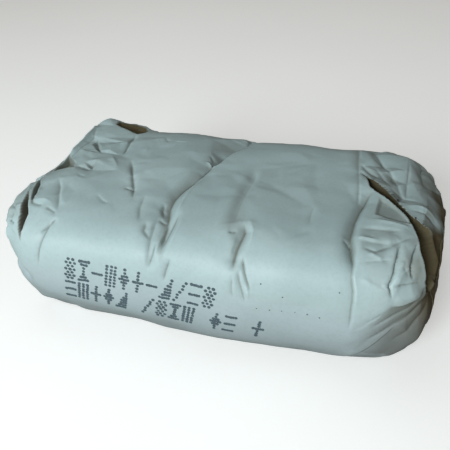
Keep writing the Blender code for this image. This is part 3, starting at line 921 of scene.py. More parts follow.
# The left rim: kind, depth, widths, ends, then the route
LEFT_RIM = (
    ("ridge", 3.8, 3.4, 3.4, 0.15, (-225, -128, 104), (-224, -118, 119), (-223, -95, 134),
     (-221, -56, 142)),
    ("trough", 2.4, 8, 8, 0.3, (-221, -46, 143), (-218, -24, 145), (-215, -2, 146), (-214, 14, 146)),
    ("ridge", 4.6, 3.4, 3.4, 0.15, (-214, 8, 146), (-213, 40, 146), (-213, 60, 147), (-214, 95, 146)),
)

# The crease behind it in the same way
BEHIND_RIM = (
    ("crease", 1.4, 2.0, 5.0, 0.3, (-214, 92, 145), (-204, 60, 147), (-206, 20, 147), (-208, -10, 147)),
)

# The rear rim, behind the pocket, in the same way
REAR_RIM = (
    ("ridge", 3.6, 7, 7, 0.3, (-184, 128, 138), (-168, 131, 136), (-154, 128, 138), (-145, 120, 141)),
)

# Creases of the left end in the same way
LEFT_CREASES = (
    ("crease", 3.0, 4.5, 1.6, 0.3, (-153, 88, 146), (-151, 59, 147), (-147, 22, 147)),
    ("crease", 2.6, 4.0, 1.8, 0.3, (-133, 19, 147), (-117, -16, 147), (-103, -46, 146), (-93, -76, 145)),
    ("crease", 1.6, 1.6, 1.6, 0.3, (-113, -50, 146), (-99, -51, 146)),
    ("crease", 2.2, 1.6, 3.6, 0.3, (-196, -48, 147), (-184, -68, 147), (-167, -107, 141)),
    ("crease", 1.6, 1.6, 2.0, 0.3, (-184, -101, 143), (-167, -108, 140)),
    ("crease", 2.4, 1.4, 3.4, 0.3, (-172, -112, 139), (-171, -124, 132), (-173, -131, 125),
     (-178, -137, 111), (-183, -140, 88)),
    ("crease", 2.2, 3.0, 1.6, 0.3, (-164, -112, 139), (-171, -122, 133), (-178, -128, 126)),
    ("crease", 1.0, 1.6, 4.0, 0.3, (-140, -68, 146), (-128, -78, 146), (-117, -84, 145)),
    ("crease", 2.0, 1.4, 3.0, 0.3, (-190, -19, 147), (-178, -19, 148), (-166, -23, 147)),
    ("crease", 1.6, 1.4, 1.4, 0.3, (-226, -100, 134), (-216, -108, 136)),
    ("crease", 2.2, 1.4, 1.4, 0.3, (-224, -114, 128), (-213, -121, 128)),
    ("crease", 1.4, 2.4, 1.4, 0.3, (-205, -99, 142), (-186, -101, 142)),
    ("ridge", 1.3, 1.8, 4.0, 0.4, (-161, 22, 147), (-147, 2, 147), (-134, -17, 147)),
    ("ridge", 1.4, 3.0, 3.0, 0.4, (-207, -96, 142), (-190, -92, 144), (-176, -96, 144)),
    ("trough", 3.6, 30, 30, 0.3, (-226, -112, 70), (-222, -122, 46), (-216, -124, 18)),
)


def fold_left_end(paper):
    """The left rim: a loose standing edge with gaps behind it, and a star of creases at its ear."""
    paper.facets(LEFT_STAR, LEFT_TOP)
    paper.crumple((-200, 40, 146), 85, 1.1, 15, 11, LEFT_TOP, flat=0.5)
    paper.crumple((-205, -80, 140), 62, 1.0, 14, 12, LEFT_TOP, flat=0.4)
    paper.crumple((-160, 10, 147), 90, 0.4, 11, 13, UP)
    paper.folds(LEFT_RIM)
    paper.crumple((-223, -104, 130), 24, 1.5, 8, 14, LEFT_TOP)
    paper.paint_shade(RIM_SHADE, LEFT_TOP)
    paper.folds(BEHIND_RIM)
    paper.sinks(LEFT_GAPS, LEFT_TOP)
    paper.sinks(LEFT_DENTS, UP)
    paper.folds(REAR_RIM)
    paper.sinks(REAR_POCKET, UP)
    paper.sinks(VALVE_SLIT, REAR)
    paper.folds(LEFT_CREASES)


# Flat facets of the rear flap, which stands up out of a valley: x, y, z and height
RIGHT_FLAPS = (
    (165, 92, 146, -2.0), (175, 57, 149, -3.2), (186, 28, 149, -3.8), (194, -8, 148, -3.8),
    (152, 98, 144, 0), (161, 68, 148, 0.4), (172, 39, 149, 0.4), (181, 7, 149, 0.4), (190, -22, 148, 0.2),
    (204, 86, 145, 2.2), (201, 50, 148, 0.5), (199, 22, 148, -1.1), (198, -6, 148, -2.6),
    (214, 78, 144, -0.6), (213, 44, 146, -2.2), (212, 14, 146, -3.4), (213, -14, 145, -1.4),
    (223, 60, 142, -3.6), (228, 34, 140, -3.4), (229, 14, 139, -0.6), (229, -20, 137, 0.6),
    (187, 104, 142, -1.5), (206, 102, 138, -3.0), (222, 92, 132, -4.0), (146, 51, 149, 0.4),
    (147, 14, 149, 0.4), (158, 36, 149, -0.6), (167, 16, 149, 0.8), (120, 110, 142, 0), (120, 40, 147, 0),
    (125, -20, 148, 0), (170, -40, 149, 0), (240, 60, 112, 0), (243, 0, 105, 0), (236, -60, 115, 0),
    (226, 108, 120, 0), (180, 128, 130, -1.0), (130, 130, 132, 0),
)

# Flat facets of the front corner, which turns sharply under the folded one: x, y, z and height
RIGHT_CORNER = (
    (215, -112, 116, 2.0), (198, -128, 107, 1.5), (187, -133, 105, 1.0), (176, -137, 95, 1.2),
    (164, -139, 83, 1.0), (152, -140, 69, 0.5), (216, -117, 92, -4.0), (204, -125, 84, -6.0),
    (190, -131, 74, -6.0), (176, -135, 60, -4.5), (226, -104, 74, 0.5), (212, -118, 52, -2.0),
    (194, -127, 40, -3.0), (232, -88, 50, 2.0), (236, -80, 95, -1.0), (205, -90, 140, 0),
    (180, -110, 138, 0), (150, -132, 120, 0), (130, -140, 70, 0), (150, -136, 34, 0), (180, -126, 10, 0),
    (214, -104, 10, 0), (236, -60, 14, 0), (242, -40, 60, 0), (242, -40, 100, 0), (228, -60, 132, 0),
)

# Painted shadow, dark brown, in the deep gap between the folded corner and the end: x, y, z and share
END_GAP_SHADE = (
    (226, 66, 139, 0), (233, 44, 137, 0), (233, 14, 136, 0), (231, -16, 136, 0), (230, -36, 135, 0.1),
    (216, -56, 144, 0.7), (214, -74, 141, 1.0), (218, -100, 126, 1.0), (220, -114, 104, 0.95),
    (236, 60, 132, 0.5), (237, 36, 132, 0.95), (237, 10, 131, 1.0), (236, -20, 130, 1.0),
    (232, -45, 129, 1.0), (231, -76, 112, 1.0), (231, -86, 89, 1.0), (229, -94, 72, 0.95),
    (225, -104, 60, 0.85), (218, -114, 48, 0.7), (242, 40, 112, 0.5), (244, 10, 112, 0.65),
    (243, -25, 110, 0.75), (240, -55, 92, 0.7), (238, -74, 68, 0.6), (234, -88, 44, 0.5),
    (246, 0, 84, 0.2), (246, -40, 62, 0.2), (244, -60, 30, 0.15), (238, -84, 12, 0.2), (246, 80, 80, 0),
    (246, 40, 80, 0), (246, 0, 40, 0), (244, -60, 5, 0), (240, 90, 100, 0),
)

# Shade on the folded corner's far side and down the front corner under it: x, y, z and share
CORNER_SHADE = (
    (189, -126, 123, 0), (190, -82, 145, 0.14), (195, -95, 142, 0.16), (205, -88, 142, 0.34),
    (199, -106, 137, 0.5), (207, -103, 136, 0.6), (204, -78, 144, 0.24), (150, -78, 147, 0.16),
    (175, -78, 149, 0.22), (196, -74, 148, 0.2), (150, -72, 148, 0), (175, -72, 149, 0),
    (194, -68, 148, 0), (150, -90, 147, 0.02), (174, -86, 148, 0.18), (150, -97, 146, 0.16),
    (174, -98, 146, 0.2), (192, -88, 146, 0.12), (155, -108, 142, 0), (180, -104, 142, 0),
    (140, -84, 147, 0), (166, -114, 139, 0.12), (184, -114, 136, 0.12), (168, -126, 129, 0.08),
    (150, -116, 139, 0.04), (208, -113, 127, 0.6), (201, -113, 133, 0.5), (203, -119, 126, 0.1),
    (210, -118, 118, 0.35), (196, -124, 121, 0), (190, -131, 112, 0), (203, -124, 112, 0),
    (214, -113, 115, 0.3), (184, -134, 106, 0), (186, -134, 102, 0.5), (197, -129, 104, 0.6),
    (210, -121, 106, 0.7), (192, -133, 83, 0.45), (178, -137, 84, 0.25), (168, -138, 89, 0),
    (204, -128, 72, 0.6), (213, -121, 85, 0.7), (206, -126, 54, 0.6), (185, -135, 65, 0.4),
    (161, -139, 71, 0.05), (176, -132, 30, 0.3), (200, -118, 20, 0.5), (150, -136, 40, 0),
    (218, -110, 30, 0.6), (222, -112, 92, 0.8),
)

# Shade where the rear flap turns down to the end: x, y, z and share
FLAP_SHADE = (
    (202, 88, 145, 0), (200, 50, 148, 0), (198, 20, 148, 0), (197, -12, 148, 0), (208, 84, 145, 0.1),
    (206, 50, 147, 0.08), (204, 20, 148, 0.03), (214, 78, 144, 0.08), (213, 40, 146, 0.06),
    (212, 14, 146, 0.0), (223, 60, 142, 0.3), (229, 44, 139, 0.5), (229, 14, 139, 0.32),
    (228, -18, 138, 0.2), (216, -6, 145, 0), (212, -34, 145, 0), (221, -30, 141, 0.05),
    (216, 96, 138, 0.3), (196, 104, 141, 0.1), (236, 60, 126, 0.6), (238, 20, 126, 0.5),
    (226, 90, 131, 0.4), (151, 100, 143, 0), (160, 72, 148, 0.22), (170, 42, 149, 0.24),
    (181, 8, 149, 0.22), (190, -20, 148, 0.2), (163, 94, 146, 0.46), (173, 60, 149, 0.56),
    (184, 32, 149, 0.62), (192, -4, 149, 0.64), (168, 96, 145, 0), (178, 60, 149, 0), (188, 32, 149, 0),
    (195, -4, 148, 0), (156, 70, 148, 0), (166, 42, 149, 0), (177, 8, 149, 0), (186, -20, 148, 0),
)

# Shade along the bottom's crease, the flat sack's one and the gap's inner end: x, y and share
BOTTOM_SHADE = (
    (162, -3, 0.16), (156, -14, 0.36), (149, -40, 0.42), (144, -62, 0.46), (141, -87, 0.5),
    (144, -106, 0.42), (145, -122, 0.05), (149, -10, 0), (140, -36, 0), (134, -60, 0), (130, -90, 0),
    (134, -112, 0), (161, -14, 0), (153, -42, 0), (147, -64, 0), (145, -88, 0), (149, -108, 0),
    (143, 104, 0.22), (144, 72, 0.34), (143, 46, 0.3), (143, 20, 0.05), (134, 104, 0), (132, 72, 0),
    (133, 44, 0), (147, 106, 0), (148, 72, 0), (152, 56, 0.1), (158, 42, 0.3), (168, 26, 0.32),
    (150, 40, 0.16), (157, 24, 0.26), (166, 10, 0.1), (150, 22, 0), (176, 20, 0.34), (185, 2, 0.3),
    (162, 56, 0.05), (178, -6, 0.1), (190, -12, 0.1), (156, 4, 0), (176, 40, 0.1), (190, 8, 0.1),
)

# The flat sack's crease over the right bottom: kind, depth, widths, ends, then the route
FLAT_CREASE = (
    ("crease", 1.8, 1.4, 4.0, 0.15, (145, 112, 143), (145, 60, 148), (146, -7, 149), (147, -36, 149)),
)

# Creases of the rear flap in the same way
FLAP_CREASES = (
    ("crease", 1.8, 1.6, 3.0, 0.25, (165, 92, 146), (175, 57, 149), (186, 28, 149), (193, -6, 148),
     (195, -26, 148)),
    ("crease", 3.2, 1.6, 3.0, 0.3, (147, 57, 148), (160, 36, 149), (173, 23, 149)),
    ("crease", 3.0, 1.6, 2.4, 0.3, (147, 42, 149), (156, 26, 149), (164, 14, 149)),
    ("crease", 1.8, 1.4, 3.0, 0.35, (163, 52, 148), (172, 30, 149), (184, 6, 149)),
)

# Where the right end turns down, and the folded corner's far edge, in the same way
END_FOLDS = (
    ("ridge", 5.4, 12, 8, 0.3, (234, 66, 118), (239, 38, 125), (239, 14, 126), (237, -14, 126)),
    ("ridge", 3.6, 12, 8, 0.25, (239, 16, 126), (237, -14, 126), (234, -42, 123), (231, -68, 117),
     (224, -94, 106)),
    ("trough", 3.4, 12, 12, 0.2, (190, 112, 138), (209, 99, 138), (222, 94, 132), (234, 80, 127)),
    ("trough", 2.0, 10, 10, 0.25, (208, 82, 144), (224, 58, 142), (230, 28, 139)),
    ("ridge", 2.6, 1.4, 6.0, 0.3, (204, -77, 144), (207, -93, 141), (212, -104, 134), (216, -110, 125),
     (218, -112, 115)),
)

# Folds of the right front corner, over and under its edge, then three behind it, in the same way
CORNER_FOLDS = (
    ("ridge", 1.2, 4.0, 1.2, 0.3, (146, -118, 138), (147, -130, 128), (151, -137, 117), (152, -141, 96)),
    ("crease", 1.8, 2.0, 2.0, 0.4, (134, -91, 146), (143, -104, 143)),
    ("ridge", 1.8, 1.6, 4.0, 0.3, (158, -60, 149), (170, -63, 148), (203, -66, 146)),
    ("crease", 1.4, 1.6, 1.6, 0.3, (165, -54, 149), (180, -56, 148), (200, -58, 147)),
    ("crease", 2.4, 1.6, 9.0, 0.3, (148, -77, 147), (162, -76, 148), (177, -76, 149), (192, -73, 148)),
    ("ridge", 1.6, 2.0, 1.4, 0.3, (144, -91, 146), (159, -91, 147), (170, -92, 147)),
    ("crease", 2.0, 1.6, 8.0, 0.3, (147, -94, 146), (160, -95, 147), (177, -94, 147), (191, -86, 146)),
    ("crease", 2.0, 4.0, 1.8, 0.3, (150, -101, 144), (165, -105, 143), (180, -92, 145)),
    ("crease", 1.4, 3.0, 1.4, 0.3, (165, -106, 142), (187, -89, 145), (202, -76, 145)),
    ("ridge", 1.5, 2.6, 1.4, 0.3, (158, -107, 142), (173, -113, 139)),
    ("crease", 0.9, 1.2, 2.0, 0.3, (147, -118, 137), (164, -115, 138), (184, -110, 139)),
    ("ridge", 1.2, 1.6, 3.0, 0.3, (152, -128, 129), (165, -131, 124), (181, -132, 117)),
    ("ridge", 1.2, 1.6, 1.6, 0.3, (172, -128, 126), (183, -132, 118)),
    ("ridge", 0.8, 1.4, 2.0, 0.3, (186, -112, 137), (199, -109, 136)),
    ("crease", 0.9, 1.2, 1.4, 0.3, (189, -113, 136), (202, -118, 127)),
    ("ridge", 0.8, 1.4, 1.6, 0.3, (190, -120, 130), (200, -111, 134)),
    ("crease", 1.8, 1.2, 2.4, 0.3, (182, -129, 123), (196, -124, 123), (214, -113, 121)),
    ("ridge", 3.4, 1.6, 5.0, 0.3, (216, -113, 116), (210, -121, 109), (198, -128, 107), (186, -134, 104)),
    ("crease", 1.2, 1.2, 3.0, 0.3, (187, -133, 104), (176, -137, 94), (164, -139, 82), (150, -140, 67)),
    ("crease", 1.8, 2.0, 4.0, 0.3, (217, -113, 110), (207, -125, 99), (190, -133, 90), (166, -138, 72)),
    ("crease", 1.6, 2.0, 4.0, 0.3, (222, -108, 100), (209, -124, 84), (186, -135, 68), (160, -139, 50)),
    ("crease", 1.6, 2.4, 4.0, 0.3, (226, -100, 92), (214, -121, 66), (196, -132, 46)),
    ("crease", 1.6, 1.4, 2.0, 0.3, (205, 82, 146), (202, 47, 148), (199, 18, 148), (197, -16, 148)),
    ("ridge", 1.8, 1.8, 4.0, 0.3, (195, -28, 148), (209, -25, 146), (221, -26, 142), (230, -32, 134)),
    ("crease", 1.4, 1.4, 2.4, 0.3, (200, -34, 147), (217, -33, 143), (232, -44, 130)),
)


def fold_right_end(paper):
    """The right end: a crease of the flat sack's bottom, and a corner folded out over a deep gap."""
    paper.folds(FLAT_CREASE)
    paper.facets(RIGHT_FLAPS, RIGHT_TOP)
    paper.facets(RIGHT_CORNER, RIGHT_FRONT)
    paper.folds(FLAP_CREASES)
    edge = (
        (154, 30, 149), (169, 13, 149), (181, -5, 149), (192, -26, 148), (201, -42, 147), (212, -51, 144),
        (224, -56, 137),
    )
    gap = edge + (
        (229, -74, 130), (230, -92, 118), (226, -106, 106), (219, -112, 108), (216, -110, 121),
        (214, -105, 130), (210, -95, 138), (207, -82, 143), (203, -68, 145), (196, -51, 147),
        (187, -35, 148), (178, -22, 149), (168, -10, 149), (158, 3, 149),
    )
    # Painted shadow in the deep gap, then painted shade on the end, corner, flap and bottom crease
    paper.sink(gap, 15, 3.0, RIGHT_TOP, shade=1.0, lip=0.8)
    paper.paint_shade(END_GAP_SHADE, RIGHT)
    paper.paint_shade(CORNER_SHADE, RIGHT_FRONT)
    paper.paint_shade(FLAP_SHADE, RIGHT_TOP)
    paper.paint_shade(from_above(BOTTOM_SHADE), UP)
    paper.fold("ridge", edge, 0.8, 9.0, other=1.0, ends=0.12, overhang=6.0)
    # A hollow under the gap, sunk a little and with painted shade
    hollow = (
        (168, -18, 149), (165, -36, 149), (163, -52, 148), (180, -57, 148), (201, -60, 147),
        (204, -66, 146), (197, -51, 147), (188, -37, 148), (178, -24, 149),
    )
    paper.sink(hollow, 2.6, 4.0, UP, shade=0.42)
    paper.folds(END_FOLDS)
    bottom = (
        (164, -2, 149), (157, -14, 149), (149, -41, 149), (144, -63, 148), (141, -88, 146),
        (145, -118, 137), (145, -129, 128), (148, -136, 116), (149, -140, 97), (150, -140, 66),
    )
    paper.fold("trough", bottom[:7], 3.4, 5.0, other=9.0, ends=0.25)
    paper.fold("crease", bottom[:7], 4.6, 1.3, other=5.0, ends=0.16)
    paper.fold("crease", bottom[4:], 2.0, 1.3, other=4.2, ends=0.2)
    paper.folds(CORNER_FOLDS)
    slits = (
        ((188, -87, 145), (186, -98, 143), (184, -112, 138), (183, -121, 131), (180, -129, 123),
         (186, -133, 110)),
        ((205, -83, 143), (202, -99, 140), (201, -110, 135), (206, -119, 123)),
    )
    for route in slits:
        paper.fold("crease", route, 4.4, 1.8, other=1.2, ends=0.25, overhang=1.2)
    paper.crumple((185, -95, 138), 58, 0.5, 11, 21, RIGHT_FRONT, flat=0.3)
    paper.crumple((196, -112, 132), 30, 0.35, 6, 25, RIGHT_FRONT)
    paper.crumple((210, 20, 142), 80, 0.45, 16, 22, RIGHT_TOP, flat=0.3)
    grain = (-0.7, 0.4, -0.6)
    paper.crumple((205, -110, 66), 80, 1.0, 20, 23, RIGHT_FRONT, grain, long=2.2, flat=0.3)


# Pleats of the rear long side: kind, depth, widths, ends, then the route
REAR_PLEATS = (
    ("crease", 2.4, 2.0, 4.0, 0.35, (-14, 141, 112), (-18, 142, 84), (-16, 142, 52)),
    ("crease", 2.0, 3.6, 1.8, 0.35, (6, 139, 118), (12, 142, 90), (14, 142, 66)),
    ("crease", 1.6, 2.0, 3.6, 0.35, (-46, 138, 120), (-40, 142, 98), (-41, 142, 78)),
    ("crease", 1.8, 2.0, 4.0, 0.35, (-150, 136, 120), (-158, 139, 92), (-154, 139, 60)),
    ("crease", 2.2, 1.8, 3.6, 0.35, (-178, 128, 122), (-186, 132, 90), (-180, 134, 50)),
    ("crease", 2.2, 2.6, 1.8, 0.35, (132, 139, 120), (138, 141, 84), (136, 141, 44)),
    ("crease", 2.4, 2.2, 4.0, 0.35, (172, 132, 124), (184, 134, 92), (180, 134, 56)),
    ("crease", 1.0, 2.0, 2.0, 0.35, (70, 141, 112), (78, 142, 92)),
)


def fold_back(paper):
    """Pleats down the rear long side, where the valley and the ends gather its paper."""
    paper.folds(REAR_PLEATS)


def fold_bottoms(paper):
    """The pasted block bottoms: the rims, the corner triangles and the long flaps under the patches."""
    for sign, x in ((-1, -222), (1, 228)):
        for z in (52, 88):
            rim = ((x, -96, z), (x + 6 * sign, 0, z), (x, 100, z))
            paper.fold("ridge", rim, 0.9, 1.2, other=8.0, ends=0.1)
        for side in (-1, 1):
            paper.fold("crease", ((x, side * 118, 112), (x, side * 84, 84)), 1.2, 1.2, other=3.0, ends=0.2)
            paper.fold("crease", ((x, side * 118, 26), (x, side * 84, 56)), 1.2, 3.0, other=1.2, ends=0.2)


def fold_seam(paper):
    """The glued seam along the underside: the upper edge of its overlap stands a paper's depth."""
    paper.fold("crease", ((-200, 24, 0), (0, 22, 0), (205, 24, 0)), 0.7, 1.0, other=9.0, ends=0.02)
    paper.crumple((0, 0, 0), 260, 0.5, 45, 71, DOWN)


def fold_all(paper):
    """Every fold, in one order, so that the trial sheet and the filling get the same ones."""
    fold_overall(paper)
    fold_feet(paper)
    fold_bottoms(paper)
    fold_seam(paper)
    fold_back(paper)
    fold_waist(paper)
    fold_wrinkles(paper)
    fold_left_end(paper)
    fold_right_end(paper)


# Materials

def set_inputs(tree, node, inputs):
    """Inputs of a node by name: a value, a colour as a tuple, or a socket to link."""
    for name, value in inputs.items():
        if isinstance(value, bpy.types.NodeSocket):
            tree.links.new(value, node.inputs[name])
        elif isinstance(value, tuple):
            node.inputs[name].default_value = (*value, 1)
        else:
            node.inputs[name].default_value = value


def add_node(tree, kind, inputs, **settings):
    """A node of a kind, with its inputs and settings."""
    node = tree.nodes.new(kind)
    for name, value in settings.items():
        setattr(node, name, value)
    set_inputs(tree, node, inputs)
    return node


def new_material(name):
    """A material with its tree and its shader."""
    material = bpy.data.materials.new(name)
    material.use_nodes = True
    return material, material.node_tree, material.node_tree.nodes["Principled BSDF"]


def add_noise(tree, scale, detail, roughness=0.5):
    """A noise on the piece's own coordinates."""
    place = add_node(tree, "ShaderNodeTexCoord", {}).outputs["Object"]
    inputs = {"Scale": scale, "Detail": detail, "Roughness": roughness, "Vector": place}
    return add_node(tree, "ShaderNodeTexNoise", inputs).outputs["Fac"]


def add_ramp(tree, factor, stops):
    """A colour ramp with stops of a position and a colour."""
    ramp = add_node(tree, "ShaderNodeValToRGB", {"Fac": factor})
    elements = ramp.color_ramp.elements
    while len(elements) < len(stops):
        elements.new(0.5)
    for element, (position, colour) in zip(elements, stops):
        element.position = position
        element.color = (*colour, 1)
    return ramp.outputs["Color"]


def add_mix(tree, blend, factor, a, b):
    """Blend two colours by a factor that is a number or a socket."""
    inputs = {"Factor": factor, "A": a, "B": b}
    return add_node(tree, "ShaderNodeMix", inputs, data_type="RGBA", blend_type=blend).outputs["Result"]


def add_bump(tree, height, strength, distance):
    """A bump with a strength and a height in metres."""
    inputs = {"Strength": strength, "Distance": distance, "Height": height}
    return add_node(tree, "ShaderNodeBump", inputs).outputs["Normal"]


def add_product(tree, value, number):
    """A value times a number."""
    return add_node(tree, "ShaderNodeMath", {0: value, 1: number}, operation="MULTIPLY").outputs["Value"]


def add_share(tree, name):
    """A share that is stored at each point of the piece."""
    return add_node(tree, "ShaderNodeAttribute", {}, attribute_name=name).outputs["Fac"]


# Kraft papers: dark and light colour, colour of painted shade, roughness, and the grey of their specks
WHITE_KRAFT = ((0.42, 0.54, 0.56), (0.478, 0.60, 0.62), (0.120, 0.100, 0.060), 0.52, 0.93)
PATCH_KRAFT = ((0.46, 0.52, 0.525), (0.52, 0.58, 0.585), (0.120, 0.100, 0.060), 0.60, 0.90)
BROWN_KRAFT = ((0.17, 0.115, 0.07), (0.24, 0.165, 0.105), (0.03, 0.02, 0.012), 0.75, 0.82)
# Noise in the paper: scale, detail and for some the roughness
CLOUD_NOISE = (9.0, 6.0)
PULP_NOISE = (260.0, 3.0, 0.7)
FIBRE_NOISE = (420.0, 4.0)
# Strength and height of the fibres
FIBRE_BUMP = (0.12, 0.0005)
# Tints by bend: valleys dusty and in painted shade, plain paper, edges rubbed pale and painted as
# highlights
RUBBED_AND_LIGHT_TINTS = (
    (0.20, (0.60, 0.59, 0.56)), (0.45, (1, 1, 1)), (0.56, (1, 1, 1)), (0.86, (1.20, 1.20, 1.20)),
)
# Shine of bare paper; there is none where shade is painted
PAPER_GLOSS = 0.42
# Painted shade on the paper near the floor: greys by height in tenths of a metre
FOOT_SCALE = 10.0
FOOT_PAINTED_SHADE = (
    (0.20, (0.66, 0.62, 0.64)), (0.46, (0.79, 0.76, 0.78)), (0.74, (0.97, 0.935, 0.96)), (1.05, (1, 1, 1)),
)


def make_kraft(name, dark, light, painted_shade_colour, roughness, speck):
    """Sack kraft: clouded pulp and fibre, edges paler and valleys darker by wear and painted light."""
    material, tree, shader = new_material(name)
    colour = add_ramp(tree, add_noise(tree, *CLOUD_NOISE), ((0.30, dark), (0.70, light)))
    specks = ((0.25, (speck, speck, speck)), (0.55, (1, 1, 1)))
    pulp = add_ramp(tree, add_noise(tree, *PULP_NOISE), specks)
    colour = add_mix(tree, "MULTIPLY", 1.0, colour, pulp)
    # Wear and painted light by bend: valleys darker, edges paler
    bend_tint = add_ramp(tree, add_share(tree, "fold_wear"), RUBBED_AND_LIGHT_TINTS)
    colour = add_mix(tree, "MULTIPLY", 1.0, colour, bend_tint)
    # Painted shade in gaps, creases and hollows: a dark brown mixed in, without shine
    gap = add_share(tree, "painted_shade_share")
    colour = add_mix(tree, "MIX", gap, colour, painted_shade_colour)
    gloss = add_node(tree, "ShaderNodeMapRange", {"To Min": PAPER_GLOSS, "To Max": 0.0, "Value": gap})
    place = add_node(tree, "ShaderNodeTexCoord", {}).outputs["Object"]
    parts = add_node(tree, "ShaderNodeSeparateXYZ", {"Vector": place})
    # Painted shade, darker towards the floor
    foot_shade = add_ramp(tree, add_product(tree, parts.outputs["Z"], FOOT_SCALE), FOOT_PAINTED_SHADE)
    set_inputs(tree, shader, {
        "Base Color": add_mix(tree, "MULTIPLY", 1.0, colour, foot_shade),
        "Specular IOR Level": gloss.outputs["Result"],
        "Normal": add_bump(tree, add_noise(tree, *FIBRE_NOISE), *FIBRE_BUMP),
        "Roughness": roughness,
    })
    return material


# Ink and filling: noise, then its colours
INK_NOISE = (900.0, 3.0)
INK_COLOURS = ((0.35, (0.055, 0.085, 0.105)), (0.65, (0.10, 0.145, 0.17)))
GRAIN_NOISE = (300.0, 6.0, 0.7)
GRAIN_COLOURS = ((0.35, (0.24, 0.23, 0.22)), (0.65, (0.40, 0.38, 0.35)))
GRAIN_BUMP = (0.5, 0.001)


def make_ink():
    """Slate ink that the paper has partly soaked up."""
    material, tree, shader = new_material("printing_ink")
    colour = add_ramp(tree, add_noise(tree, *INK_NOISE), INK_COLOURS)
    set_inputs(tree, shader, {"Base Color": colour, "Roughness": 0.6})
    return material


def make_dry_mix():
    """Grey cement and crushed grog."""
    material, tree, shader = new_material("dry_castable")
    grain = add_noise(tree, *GRAIN_NOISE)
    colour = add_ramp(tree, grain, GRAIN_COLOURS)
    bump = add_bump(tree, grain, *GRAIN_BUMP)
    set_inputs(tree, shader, {"Base Color": colour, "Normal": bump, "Roughness": 0.95})
    return material


# Noise of the studio floor, and its colours
FLOOR_NOISE = (2.0, 3.0)
FLOOR_COLOURS = ((0.3, (0.86, 0.86, 0.85)), (0.7, (0.90, 0.90, 0.89)))
# Colour of the light that the floor throws back, duller than the floor looks
FLOOR_BOUNCE = (0.36, 0.31, 0.26)
# How much brighter the floor looks to the camera than the lights make it
FLOOR_GLOW = 0.36


def make_floor():
    """The studio floor: what it throws back is duller than what the camera sees of it."""
    material, tree, shader = new_material("studio_floor")
    colour = add_ramp(tree, add_noise(tree, *FLOOR_NOISE), FLOOR_COLOURS)
    seen = add_node(tree, "ShaderNodeLightPath", {}).outputs["Is Camera Ray"]
    set_inputs(tree, shader, {
        "Base Color": add_mix(tree, "MIX", seen, FLOOR_BOUNCE, colour),
        "Emission Color": (1, 1, 1),
        "Emission Strength": add_product(tree, seen, FLOOR_GLOW),
        "Roughness": 0.9,
    })
    return material


# Pieces

def add_object(name, data):
    """An object in the scene."""
    item = bpy.data.objects.new(name, data)
    bpy.context.scene.collection.objects.link(item)
    return item


def mesh_object(name, points, loops, counts, material):
    """A mesh from its points and the corners of its cells, in one row."""
    data = bpy.data.meshes.new(name)
    data.vertices.add(len(points))
    data.vertices.foreach_set("co", points.astype(np.float32).ravel())
    data.loops.add(len(loops))
    data.loops.foreach_set("vertex_index", loops.astype(np.int32))
    data.polygons.add(len(counts))
    starts = np.concatenate([[0], np.cumsum(counts)[:-1]])
    data.polygons.foreach_set("loop_start", starts.astype(np.int32))
    data.update(calc_edges=True)
    data.validate()
    data.materials.append(material)
    data.shade_smooth()
    return add_object(name, data)


def store_share(item, name, values):
    """A share from 0 to 1 at each point, for the material."""
    attribute = item.data.attributes.new(name, "FLOAT", "POINT")
    attribute.data.foreach_set("value", np.clip(values, 0, 1).astype(np.float32))


def finish_piece(item, node):
    """The solid that a piece stands for and its body."""
    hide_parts(node)
    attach(item, "root")


def build_sack(material):
    """The folded paper, cut finest where it turns most."""
    paper = Paper(Sheet(busy_levels()))
    fold_all(paper)
    paper.points = paper.formed()
    paper.turned = paper.sheet.normals(paper.points)
    sheet = paper.sheet
    sack = mesh_object("sack_paper", paper.points, sheet.loops, sheet.counts, material)
    # How the paper bends sets its wear and painted light
    bend = sheet.smoothed(sheet.bend(paper.points) - sheet.bend(paper.base), 1)
    paper.wear = FLAT_PAPER_TONE + bend / TONE_BEND
    store_share(sack, "fold_wear", paper.wear)
    store_share(sack, "painted_shade_share", paper.shade)
    finish_piece(sack, "paper_sack")
    return paper


def build_filling(material):
    """The powder, which fills the folded paper to just inside it."""
    coarse = Paper(Sheet(np.zeros(len(COARSE[0]), dtype=int)))
    fold_all(coarse)
    sheet = coarse.sheet
    ends = sheet.loops[sheet.following]
    rise = coarse.rise + np.minimum(np.einsum("ij,ij->i", coarse.slide, coarse.normals), 0)
    for _ in range(FILLING_SPREAD):
        lowest = rise.copy()
        np.minimum.at(lowest, sheet.loops, rise[ends])
        rise = lowest
    rise = sheet.smoothed(rise, 1) - FILLING_INSET
    points = coarse.base + coarse.normals * rise[:, None]
    points[:, 2] = np.maximum(points[:, 2], 2 * WALL)
    filling = mesh_object("powder_filling", points, sheet.loops, sheet.counts, material)
    finish_piece(filling, "dry_mix")


